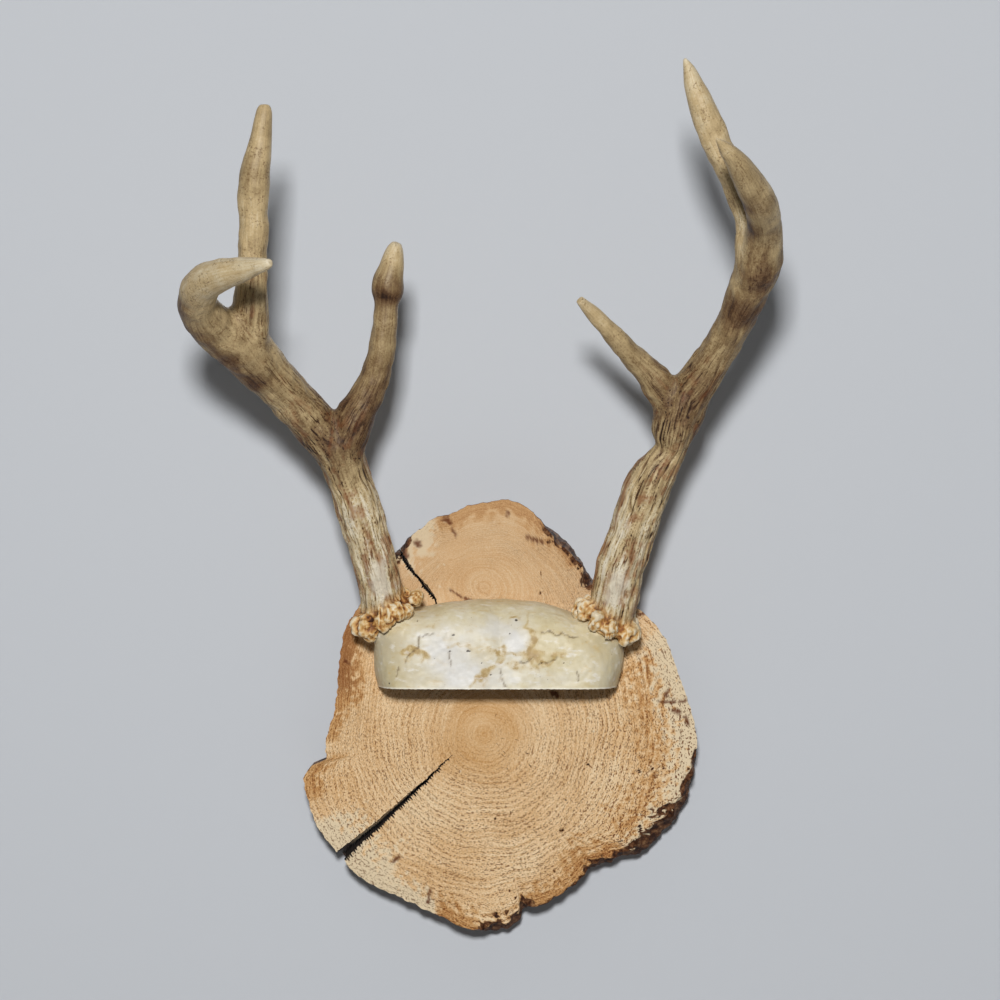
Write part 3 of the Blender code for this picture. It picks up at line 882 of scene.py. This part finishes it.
# %% The bars' own coordinates on the skin
def branch_coordinates(points, path):
    """For each point of a skin: how far it is along the bar, its angle round it, its
    distance from the bar's axis and the bar's radius there.  The nearest step of the path
    is found from |p|^2 - 2 p.c + |c|^2, then slid along the path's direction."""
    centres, radii = path[:, :3], path[:, 3]
    ahead, one, two = across(path)
    gap = (centres ** 2).sum(axis=1) - 2 * points @ centres.T
    near = gap.argmin(axis=1)
    offset = points - centres[near]
    slide = (offset * ahead[near]).sum(axis=1)
    offset -= slide[:, None] * ahead[near]
    angle = np.arctan2((offset * two[near]).sum(axis=1), (offset * one[near]).sum(axis=1))
    return near + slide, angle, np.linalg.norm(points - centres[near], axis=1), radii[near]


# %% Skin the antlers, before any carving
antlers = {}
for seed, side in enumerate(ANTLERS):
    solids = [bar(path) for path in paths[side].values()] + burr_lumps(side, 11 + seed)
    antlers[side] = skin(f"{side}_antler", solids, ANTLER_VOXEL)
    print(side, "antler:", len(antlers[side].data.polygons), "faces")

# %% Carving the antlers
FORK_REACH = 1.4                # how sharply a point belongs to one bar or another
FORK_ROUNDS, BURR_ROUNDS = 70, 7    # how often the skin is relaxed there
FURROWS_ROUND, FURROW_LENGTH = 3.9, 34  # how close furrows lie round a bar, and their run
BURR_TOP = (6.5, 12.5)          # heights above the foot between which the burr fades out
FURROW_DEPTH, STREAK_HEIGHT, BUMP_HEIGHT = 0.60, 0.38, 0.55
BROWN = {                       # how brown each bar is, as (share of its length, amount)
    "left": {
        "beam": [(0, 0.38), (0.06, 0.28), (0.20, 0.27), (0.27, 0.50), (0.34, 0.80),
                 (0.44, 0.66), (0.54, 0.54), (0.68, 0.50), (0.78, 0.40), (0.90, 0.36),
                 (1, 0.28)],
        "inner_tine": [(0, 0.86), (0.25, 0.82), (0.45, 0.72), (0.66, 0.62), (0.72, 0.72),
                       (0.76, 0.95), (0.82, 0.76), (0.87, 0.60), (0.92, 0.42), (1, 0.36)],
        "back_tine": [(0, 0.62), (0.25, 0.50), (0.6, 0.42), (0.72, 0.58), (0.84, 0.48),
                      (1, 0.54)],
    },
    "right": {
        "beam": [(0, 0.36), (0.06, 0.28), (0.18, 0.34), (0.28, 0.50), (0.36, 0.74),
                 (0.50, 0.63), (0.62, 0.72), (0.72, 0.72), (0.84, 0.66), (1, 0.44)],
        "inner_tine": [(0, 0.76), (0.3, 0.66), (0.6, 0.58), (1, 0.40)],
        "back_tine": [(0, 0.74), (0.3, 0.58), (0.6, 0.46), (1, 0.32)],
    },
}
# Brown and pale spots on the antlers: most are stains, but some on the right antler are painted
# shade and painted light.
STAINS_AND_PAINTED_LIGHT = {                      # (x, y, z, reach, amount): brown if above 0, pale if below
    "left": [
        (-49.6, -54, 44, 5.0, -0.60), (-50.8, -58, 51, 4.5, -0.50), (-46, -50, 50, 4, 0.22),
        (-62, -68, 78, 7, -0.12), (-110, -92, 133, 11, 0.18), (-129, -124, 159, 8, 0.42),
        (-122, -112, 149, 8, 0.42), (-112, -102, 138, 7, 0.38), (-101, -92, 129, 6, 0.30),
        (-47, -90, 164, 3, 0.30), (-85, -84, 122, 9, -0.10),
        (-71, -66, 104, 6, 0.10), (-111, -100, 200, 4, 0.25), (-60, -50, 45, 4, 0.22),
    ],
    "right": [
        (48, -55, 39, 5.0, -0.60), (50, -58, 46, 5, -0.60), (52, -60, 52, 4, -0.40),
        (41, -48, 46, 4, 0.25), (60, -52, 42, 4, 0.20),
        (58, -52, 50, 5, 0.20), (78, -80, 118, 9, 0.10), (100, -100, 160, 9, 0.16),
        # Painted shade: the dark spots along the front tine's lower left side. Painted light: the
        # pale spots on the back tine below it, lifting the shadow that the front tine casts there.
        (106, -114, 171, 6, 0.20), (99, -100, 156, 6, 0.16), (100, -130, 191, 4.5, 0.35),
        (97, -143, 200, 4.5, 0.35), (93, -153, 209, 4, 0.35), (111, -138, 196, 7, -0.28),
        (108, -150, 206, 6, -0.28), (114, -122, 184, 7, -0.24), (96, -116, 181, 6, -0.32),
        (94, -108, 168, 6, -0.22), (97, -118, 192, 6, -0.35), (64, -62, 92, 5, 0.18),
    ],
}


def rough_share(name, along, length):
    """How furrowed a bar is: all the way up the lower beam, fading to its tip."""
    if name == "beam":
        return 1 - 0.90 * step(along, 0.16 * length, 0.66 * length)
    return 0.45 * (1 - step(along, 0.10 * length, 0.70 * length))


def carve(side, seed):
    """Web the forks, cut the furrows and crumple the burr of one antler, and store the
    fields that its finish is mixed from.  A point's share in each bar is exp(-d / reach)
    over their sum, d being how far it stands proud of that bar.  A furrow is where noise
    round and along the bar is near zero, so it runs as a line."""
    obj = antlers[side]
    points, edges = read_points(obj), neighbours(obj)
    height = ((points - ANTLERS[side]["foot"]) @ burr_axes(side).T)[:, 2]
    burr = 1 - step(height, *BURR_TOP)
    bars = [branch_coordinates(points, path) for path in paths[side].values()]
    proud = np.stack([distance - radius for _, _, distance, radius in bars])
    share = np.exp(-(proud - proud.min(axis=0)) / FORK_REACH)
    share /= share.sum(axis=0)
    fork = step(1 - share.max(axis=0), 0.02, 0.25) * (1 - burr)
    points = relax(points, edges, FORK_ROUNDS, 0.6 * fork + 0.02)
    points = relax(points, edges, BURR_ROUNDS, 0.5 * burr)

    furrow, streak, rough, tip, brown, run, ring = 0, 0, 0, 0, 0, 0, 0
    for k, (name, path) in enumerate(paths[side].items()):
        along, angle, _, _ = bars[k]
        length = len(path)
        turn = angle + 0.12 * noise(np.stack([np.cos(angle), np.sin(angle), along / 16], -1), seed)
        circle = np.stack([FURROWS_ROUND * np.cos(turn), FURROWS_ROUND * np.sin(turn),
                           along / FURROW_LENGTH], axis=-1)
        wide = noise(circle + 5 * k, seed + 1)
        fine = noise(circle * (1.9, 1.9, 1.6) + 9 * k, seed + 2)
        broken = noise(circle * (0.5, 0.5, 2.6) + 3 * k, seed + 5)
        cut = (0.80 * step(np.abs(wide), 0.15, 0.02) * step(broken, -0.35, 0.15)
               + 0.60 * step(np.abs(fine), 0.13, 0.0) * step(broken, 0.30, -0.15))
        here = rough_share(name, along, length)
        furrow = furrow + share[k] * cut * here
        streak = streak + share[k] * (wide + 0.7 * fine)
        rough = rough + share[k] * here
        tip = tip + share[k] * step(along, 0.50 * length, 0.97 * length)
        run = run + share[k] * along
        ring = ring + share[k] * np.stack([np.cos(turn), np.sin(turn)])
        brown = brown + share[k] * np.interp(along / length, *zip(*BROWN[side][name]))
    write_points(obj, points)
    normals = read_normals(obj)
    furrow = furrow * (1 - 0.7 * fork)
    bumps = noise(points / (7, 7, 10), seed + 3, 2) * (1 - 0.75 * tip)
    relief = (-FURROW_DEPTH * furrow + STREAK_HEIGHT * streak * rough + BUMP_HEIGHT * bumps
              + burr * (noise(points / 4.2, seed + 4) + 0.45 * noise(points / 1.8, seed + 6, 2)))
    points = points + relief[:, None] * normals
    write_points(obj, points)
    hollow = ((relax(points, edges, 14) - points) * read_normals(obj)).sum(axis=1)
    # Stains, with the right antler's painted shade and painted light.
    stain_and_painted_light = sum(amount * np.exp(-((points - (x, y, z)) ** 2).sum(axis=1) / reach ** 2)
                for x, y, z, reach, amount in STAINS_AND_PAINTED_LIGHT[side])
    run, ring_x, ring_y = relax(np.stack([run, *9 * ring], -1), edges, 5, 0.6).T
    store(obj, furrow=furrow, streak=streak, rough=rough, tip=tip, burr=burr, run=run,
          ring_x=ring_x, ring_y=ring_y, hollow=np.clip(hollow / 0.35, -1, 1),
          brown=brown + stain_and_painted_light)
    print(side, "furrows cut", round(float(-relief.min()), 2), "mm deep,",
          len(obj.data.polygons), "faces")


for seed, side in enumerate(ANTLERS):
    carve(side, 40 + 10 * seed)


# %% [markdown]
# ## Antler finish
# Antler is off-white bone that sap and bark have stained as the deer rubbed it.  The stain
# stays in the furrows and is polished off the tips, so one number, how brown a point is,
# picks its colour from a ramp: the carving's own fields add up to it, with fine noise.

# %% The antlers' finish
def antler_finish(name, crust_and_painted_light):
    """Stained, furrowed antler with a knobbly burr.  crust is how brown the burr is; the right
    burr gets less, painted light that makes up for the shade it lies in.
    """
    g = Graph(name)
    place = g.place()
    furrow, streak, rough, tip, burr, hollow, brown = (
        g.attribute(field) for field in
        ("furrow", "streak", "rough", "tip", "burr", "hollow", "brown"))
    grain = g.noise(place, 0.8, 4, 0.65)
    cloud = g.noise(place, 7, 3)
    run, ring_x, ring_y = (g.attribute(field) for field in ("run", "ring_x", "ring_y"))

    def fibres(across, along, detail=3):
        """Noise drawn out along the bars, in lumps of across by along millimetres."""
        return g.noise(join(ring_x / across, ring_y / across, run / along), WHOLE, detail)

    strands, bands = fibres(1.1, 16), fibres(4.5, 26, 2)
    dashes = (fibres(0.70, 8, 2).step(0.57, 0.63) * fibres(4, 14).step(0.40, 0.58)
              + fibres(0.55, 2.2, 2).step(0.62, 0.68) * 0.7)
    dashes = dashes * (0.10 + rough * 0.90)
    tone = (brown - 0.05 + furrow * 0.36 + streak * (0.04 + rough * 0.13) + hollow * 0.12
            + (grain - 0.5) * 0.36 + (cloud - 0.5) * 0.44
            + (strands - 0.5) * (0.24 + rough * 0.50) + dashes * 0.58
            + (bands - 0.5) * (0.12 + rough * 0.50))
    bone = g.ramp(tone, [
        (0.0, paint("#e4d9c2")), (0.16, paint("#d6c6a4")), (0.35, paint("#c2aa7f")),
        (0.52, paint("#a48d66")), (0.65, paint("#876f4c")), (0.76, paint("#70563a")),
        (0.88, paint("#50361f")), (1.0, paint("#2b180b"))])
    rust = (bands * 0.6 + g.noise(place, 5, 2) * 0.4 + rough * 0.10).step(0.57, 0.68)
    bone = g.mix(bone, paint("#895029"), rust * rough * 0.62)
    bone = g.mix(bone, paint("#dbd0ba"), (brown * -1.0 + (strands - 0.5) * 0.5
                                          + (cloud - 0.5) * 0.4).step(-0.22, 0.02) * 0.8)
    rubbed = g.noise(place, 6, 2).step(0.42, 0.58)
    specks = g.noise(place, 0.9, 3, 0.6).step(0.55, 0.62) * rubbed
    bone = g.mix(bone, paint("#66451f"), specks * (1 - rough * 0.6) * 0.62)
    flecks = g.cells(place, 1.5).step(0.15, 0.06) * g.noise(place, 5, 2).step(0.48, 0.60)
    bone = g.mix(bone, paint("#3d2917"), flecks * 0.65)
    crumple = g.noise(place, 2.5, 4, 0.6)
    blotch = g.noise(place, 5.5, 2)
    knob = g.ramp(hollow * 0.42 + crust_and_painted_light + (crumple - 0.5) * 0.55 + (blotch - 0.5) * 0.8, [
        (0.0, paint("#e9d9ba")), (0.22, paint("#dbb77e")), (0.48, paint("#be8c4d")),
        (0.70, paint("#8e5a2c")), (1.0, paint("#3a1d0d"))])
    color = g.mix(bone, knob, burr)
    relief = (grain * 0.5 + g.noise(place, 0.45, 3) * 0.4 - specks * 0.5 + crumple * burr * 0.4
              + (strands * 0.9 - dashes * 1.1) * (1 - burr))
    return g.finish(Base_Color=color, Roughness=(0.56 + furrow * 0.2 - tip * 0.08),
                    Normal=g.bump(relief, 0.18, 0.7), Specular_IOR_Level=0.35)


CAD_PIECES = ("lower_beam", "middle_beam", "beam_tip", "inner_tine", "back_tine")
# The right burr's crust is lower than the left's: painted light that makes up for the shade it
# gets from the lamp on the left.
for side, crust_and_painted_light in (("left", 0.48), ("right", 0.38)):
    obj = antlers[side]
    obj.data.materials.append(antler_finish(f"{side}_antler_bone", crust_and_painted_light))
    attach(obj, "root")
    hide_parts(*[f"{side}_{piece}" for piece in CAD_PIECES])

# %% [markdown]
# ## Skull plate
# The plate is the roof of the skull, sawn off just behind the eyes: a thin dome of bone,
# open below, that swells into a stump (pedicle) for each antler.  The dome's formula gives
# its outer and inner walls, a voxel skin grows the stumps out of it, relaxing webs them,
# and Booleans hollow it and saw it off, because the sawn edge has to be crisp.

# %% The dome
RIM_Z, PLATE_STANDOFF, PLATE_WALL = 1.0, 26.5, 4.5
BOSS_RADIUS, BOSS_TOP = 7.5, 34     # the solid bone round each screw
STUMP_FOOT, STUMP_TOP = (12.0, 17.0), (10.6, 0.35)  # each end's radius and depth below a burr
PLATE_VOXEL = 0.62
PLATE_OUTLINE = np.array([
    (50, 1), (53.4, 17), (50, 22.5), (42.7, 26.5), (34.2, 31), (21.4, 35.7), (8.5, 37.8),
    (-4, 38.3), (-17, 37.4), (-29.9, 35.7), (-42.7, 33.1), (-51, 27.5), (-54.3, 19), (-51.7, 1),
])


def dome(height, inset, back_y, sides=200, rows=48):
    """The dome over the plate's outline and its mirror image below the sawn edge.  From
    foot to crown it stands height * sqrt(1 - rho ^ b) off the slice, rho being the share
    of the way out to the foot and b = 3.2 + 7.5 |cos a|, blunter at the sides."""
    corner = PLATE_OUTLINE - (0, RIM_Z)
    turn = np.linspace(0, math.tau, sides, endpoint=False)
    reach = np.interp(np.arccos(np.cos(turn)), np.arctan2(corner[:, 1], corner[:, 0]),
                      np.linalg.norm(corner, axis=1) - inset)
    rho = np.sin(np.linspace(math.pi / 2, 0.02, rows))[:, None]
    stand = height * np.sqrt(np.clip(1 - rho ** (3.2 + 7.5 * np.abs(np.cos(turn))), 0, None))
    rings = np.stack([rho * reach * np.cos(turn), -SLICE_THICKNESS - GAP - stand,
                      RIM_Z + rho * reach * np.sin(turn)], axis=-1)
    rings = np.concatenate([rings[:1], rings])
    rings[0, :, 1] = back_y
    return rings.reshape(-1, 3), grid_faces(rows + 1, sides)


def pedicle(side):
    """The bony stump below a burr: a straight bar that narrows towards the burr and ends
    a hair's breadth short of it."""
    axes, foot = burr_axes(side), np.array(ANTLERS[side]["foot"])
    start, end = foot - STUMP_FOOT[1] * axes[2], foot - STUMP_TOP[1] * axes[2]
    path = [(*(start + t * (end - start)), radius) for t, radius in zip(
        np.linspace(0, 1, 12), np.linspace(STUMP_FOOT[0], STUMP_TOP[0], 12))]
    return bar(np.array(path), 48)


foot_y = -SLICE_THICKNESS - GAP
skull = skin("skull_plate_bone", [dome(PLATE_STANDOFF, 0, foot_y)]
             + [pedicle(side) for side in ANTLERS], PLATE_VOXEL)
points, edges = read_points(skull), neighbours(skull)
near_stump = sum(bell(np.linalg.norm(points - np.array(ANTLERS[side]["foot"])
                                     + 11 * burr_axes(side)[2], axis=1), 11.0, 5.0)
                 for side in ANTLERS)
lifted = step(foot_y - points[:, 1], 0.5, 2.5)
points = relax(points, edges, 30, np.clip(0.75 * near_stump, 0.03, 0.6) * lifted)
print("skull plate:", len(points), "points")

# %% Grooves, stains and specks of the bone
CRACK_LINES = [                 # hairline cracks and sutures as (x, z, y ...) corners
    [(-34, 23.5), (-34.8, 18.5), (-38.5, 15.5), (-40, 12.5)], [(-43, 10), (-43.8, 6.5)],
    [(-34, 23), (-28, 24.6)], [(-21.5, 16.5), (-20.8, 10.5)], [(32.5, 8.5), (33.2, 4.5)],
    [(14, 14.5), (11, 12), (8.5, 12.3)], [(17.5, 24.5), (21, 25.5), (23.5, 23.8), (27, 24.5),
                                          (30.5, 22.5), (33, 23.2)],
    [(24, 14.2), (20, 12), (16.5, 11.5)], [(0, 9.5), (0.8, 5), (2.3, 2)],
]
SPECKS = [                      # (x, z, radius)
    (-13.3, 17.2, 0.9), (-19.8, 24, 0.8), (4.3, 24.5, 0.6), (5.6, 23.6, 0.5),
    (-22.8, 8.3, 0.5), (-3.9, 7, 0.7), (-18.5, 5.3, 0.5), (-19.4, 4.4, 0.4), (0, 9.2, 0.5),
    (17.6, 11.8, 0.6), (-46.9, 3.2, 0.5), (-21, 17, 0.7), (-34, 4.5, 0.4), (-8, 12, 0.35),
    (11, 5, 0.35), (27, 12, 0.35), (-28, 14, 0.4), (40, 10, 0.35), (7, 30, 0.9), (-35, 30, 0.6),
]
SEEP_LINES = [                  # where stain has run along old sutures: (x, z) corners
    [(1.2, 15.5), (-4, 10), (-10.6, 4), (-12, 1.5)], [(-22, 20), (-10, 18.2), (3, 17), (13, 13.5)],
    [(11, 32), (13.2, 25), (14, 19), (14.5, 12.5)], [(14.5, 13), (20, 12), (26, 14.5)],
    [(-40, 16.5), (-33, 17.5), (-30, 14)],
]
BONE_STAINS = {                 # (x, z, reach along x, reach along z, amount)
    "ochre": [(15.5, 16, 3.5, 8, 0.9), (6, 11, 6, 2.0, 0.9), (23.5, 15.5, 7, 2.5, 0.7),
              (6, 30.5, 2.2, 1.6, 1.2), (-38, 16.5, 9, 1.6, 0.7), (-33, 14.5, 2.0, 2.5, 1.0),
              (38.5, 3, 3, 2, 0.7), (-6, 15.5, 13, 1.2, 0.55), (-7, 4.5, 4.5, 5.0, 0.75),
              (-3.5, 9, 3.0, 3.5, 0.5), (-30, 28, 6, 2.2, 0.8), (22, 25, 9, 2.5, 0.6),
              (-44, 26, 5, 3, 0.7), (30, 20, 4, 5, 0.45), (32.5, 9, 1.5, 5, 0.5),
              (12, 20, 3, 7, 0.5)],
    "cool": [(-18, 12, 14, 13, 0.9), (7, 20, 7, 7, 1.0), (-10, 6, 12, 5, 0.8),
             (-26, 20, 8, 7, 0.6), (-3, 27, 10, 5, 0.6), (20, 5, 14, 4, 0.4)],
    "drab": [(-44, 14, 8, 12, 0.7), (45, 12, 8, 14, 0.6), (40, 20, 7, 6, 0.6),
             (-40, 5, 9, 5, 0.4), (-48, 22, 6, 6, 0.5)],
}


def bone_fields(points):
    """How cracked, specked and stained each point of the plate's outer face is."""
    flat = points[:, [0, 2]]
    wobble = flat + 0.5 * np.stack([noise(points / 1.5, 90), noise(points / 1.5, 91)], -1)
    crack = np.maximum.reduce([1 - step(line_distance(wobble, line), 0.05, 0.55)
                               for line in CRACK_LINES])
    speck = np.maximum.reduce([1 - step(np.linalg.norm(wobble - (x, z), axis=1),
                                        0.3 * size, 1.0 * size) for x, z, size in SPECKS])
    spread = flat + 2.2 * np.stack([noise(points / 5, 92, 2), noise(points / 5, 93, 2)], -1)
    stains = {}
    for name, patches in BONE_STAINS.items():
        stains[name] = sum(amount * np.exp(-((spread - (x, z)) ** 2 / (wide ** 2, high ** 2))
                                           .sum(axis=1)) for x, z, wide, high, amount in patches)
    stains["ochre"] += 0.8 * np.maximum.reduce([1 - step(line_distance(spread, line), 0.2, 2.2)
                                                for line in SEEP_LINES])
    return {"crack": crack, "speck": speck, **stains}


write_points(skull, points)
normals = read_normals(skull)
fields = bone_fields(points)
outer = lifted * step(-normals[:, 1], -0.6, 0.1)
relief = (0.55 * noise(points / 14, 94) + 0.16 * noise(points / 3.2, 95, 2)
          - 0.35 * fields["crack"] - 0.25 * fields["speck"])
points = points + (outer * relief)[:, None] * normals
write_points(skull, points)
print("the plate's face is worked", round(float(np.ptp(outer * relief)), 2), "mm up and down")

# %% Hollow the plate and saw it off
def tool(name, solid, mat):
    """A cutting or joining tool with a finish."""
    obj = make_mesh(name, [solid])
    obj.data.materials.append(mat)
    return obj


def bone_finish(name, outer_face):
    """Dry bone: ivory, bluish where it is bleached, ochre where fat and soil soaked in."""
    g = Graph(name)
    place = g.place()
    cloud, mottle = g.noise(place, 14, 4), g.noise(place, 2.6, 4, 0.6)
    fine = g.noise(place, 0.5, 3)
    bone = g.ramp(cloud * 0.6 + mottle * 0.4, [
        (0.30, paint("#c9b88f")), (0.45, paint("#d6c9a4")), (0.58, paint("#dfd5b8")),
        (0.72, paint("#e4dfce"))])
    z = split(place)[2]
    if outer_face:
        crack, speck, ochre, cool, drab = (g.attribute(field) for field in (
            "crack", "speck", "ochre", "cool", "drab"))
        bone = g.mix(bone, paint("#dcdad6"), (cool * 0.85 + (cloud - 0.5) * 0.5)
                     .apply("MINIMUM", 0.9).apply("MAXIMUM", 0.0))
        bone = g.mix(bone, paint("#b3a27b"), (drab * (0.35 + mottle * 0.5))
                     .apply("MINIMUM", 0.8))
        wash = (ochre * 0.8 + (mottle - 0.5) * 0.9).step(0.15, 1.1)
        bone = g.mix(bone, paint("#c0a566"), wash * 0.80)
        soaked = (ochre * (0.1 + mottle * 1.1) + (fine - 0.5) * 0.7
                  + (mottle - 0.62) * 1.2).step(0.32, 0.95)
        bone = g.mix(bone, paint("#a3824a"), soaked * 0.70)
        streaks = g.noise(g.stretch(place, (0.45, 1, 1)), 3.2, 4, 0.6)
        bone = g.mix(bone, paint("#c9ab6c"), streaks.step(0.56, 0.70) * (1 - cool * 0.7) * 0.45)
        bone = g.mix(bone, paint("#efece6"), streaks.step(0.44, 0.30) * 0.5)
        pores = g.cells(place, 2.2).step(0.14, 0.06) * g.noise(place, 9, 2).step(0.52, 0.62)
        bone = g.mix(bone, paint("#6d5232"), pores * 0.5)
        bone = g.mix(bone, paint("#5f4727"), crack * 0.70)
        # A thin pale line just above the sawn rim is a painted highlight, where the rim's edge
        # catches the light.
        bone = g.mix(bone, paint("#f1eddf"), z.step(RIM_Z + 0.9, RIM_Z + 0.3) * 0.6)
        bone = g.mix(bone, paint("#2c1c0e"), speck.step(0.3, 0.8) * 0.9)
    else:
        # Inside the hollow, away from the sawn edge, the bone is painted dark brown: partly dirt
        # and partly painted shade, to deepen the shade under the plate.
        bone = g.mix(bone, paint("#7d5f3c"), z.step(RIM_Z + 0.5, RIM_Z + 4) * 0.75)
    relief = fine * 0.35 + mottle * 0.8
    return g.finish(Base_Color=bone, Roughness=0.46 + (mottle - 0.5) * 0.3,
                    Specular_IOR_Level=0.35, Normal=g.bump(relief, 0.14, 0.6))


cut_bone = bone_finish("sawn_bone", False)
skull.data.materials.append(bone_finish("skull_bone", True))
combine(skull, tool("hollow", dome(PLATE_STANDOFF - PLATE_WALL, PLATE_WALL,
                                   2 - SLICE_THICKNESS), cut_bone), "DIFFERENCE")
for side, (x, z) in SCREWS.items():
    boss = turned((x, z), [(SLICE_THICKNESS + GAP, BOSS_RADIUS), (BOSS_TOP, BOSS_RADIUS),
                           (BOSS_TOP + 1.3, BOSS_RADIUS - 0.9)])
    hole = turned((x, z), [(SLICE_THICKNESS, SCREW_RADIUS + GAP),
                           (BOSS_TOP, SCREW_RADIUS + GAP)])
    combine(skull, tool(f"{side}_boss", boss, cut_bone), "UNION")
    combine(skull, tool(f"{side}_bone_hole", hole, cut_bone), "DIFFERENCE")
saw_run = np.linspace(-70, 70, 281)
saw_top = RIM_Z + 0.16 * noise(np.stack([saw_run / 1.4, 0 * saw_run, 0 * saw_run], -1), 96, 3)
saw_loop = np.concatenate([np.stack([saw_run, saw_top], -1), [(70, -70), (-70, -70)]])
saw_rows = np.concatenate([np.insert(saw_loop, 1, y, axis=1) for y in (0, -80)])
combine(skull, tool("saw_cut", (saw_rows, grid_faces(2, len(saw_loop))), cut_bone),
        "DIFFERENCE")
skull.data.shade_smooth()
skull.data.set_sharp_from_angle(angle=math.radians(38))
store(skull, **bone_fields(read_points(skull)))
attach(skull, "root")
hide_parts("skull_plate")
print("skull plate:", len(skull.data.polygons), "faces")

# %% [markdown]
# ## Screws
# Two countersunk screws hold the plate from behind, and only their heads show, on the
# slice's back.  A screw could be built from a cylinder and a cone.  Here it is one turned
# profile, so that head, shank and point are a single closed skin, and a Boolean presses
# the cross-shaped recess into its head.

# %% Screws
def zinc_finish():
    """Zinc-plated steel, with fine turning marks."""
    g = Graph("zinc_plate")
    place = g.place()
    film, marks = g.noise(place, 1.2, 4), g.noise(g.stretch(place, (1, 9, 1)), 0.4, 3)
    color = g.ramp(film, [(0.3, paint("#9d9d98")), (0.7, paint("#c9c8c0"))])
    return g.finish(Base_Color=color, Metallic=1.0, Roughness=0.28 + marks * 0.2,
                    Normal=g.bump(marks, 0.03))


def cross_recess(foot):
    """A cross that tapers into the head along -Y from foot."""
    arm, half = 2.3, 0.45
    loop = [(arm, -half), (arm, half), (half, half), (half, arm), (-half, arm), (-half, half),
            (-arm, half), (-arm, -half), (-half, -half), (-half, -arm), (half, -arm),
            (half, -half)]
    rows = [[(foot[0] + x * grow, y, foot[1] + z * grow) for x, z in loop]
            for y, grow in ((0.0, 1.0), (-2.4, 0.35))]
    return np.array(rows).reshape(-1, 3), grid_faces(2, len(loop))


zinc = zinc_finish()
for side, foot in SCREWS.items():
    blank = [(HEAD_FACE - 0.05, 3.4), (HEAD_FACE, SCREW_HEAD_RADIUS - 0.15),
             (HEAD_RIM, SCREW_HEAD_RADIUS), (HEAD_FOOT, SCREW_RADIUS),
             (SCREW_LENGTH - 5, SCREW_RADIUS), (SCREW_LENGTH, 0.4)]
    screw = tool(f"{side}_countersunk_screw", turned(foot, blank, 64), zinc)
    outward(screw)
    combine(screw, tool("recess", cross_recess(foot), zinc), "DIFFERENCE")
    screw.data.shade_smooth()
    screw.data.set_sharp_from_angle(angle=math.radians(30))
    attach(screw, "root")
    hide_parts(f"{side}_screw")
    print(side, "screw:", len(screw.data.polygons), "faces")
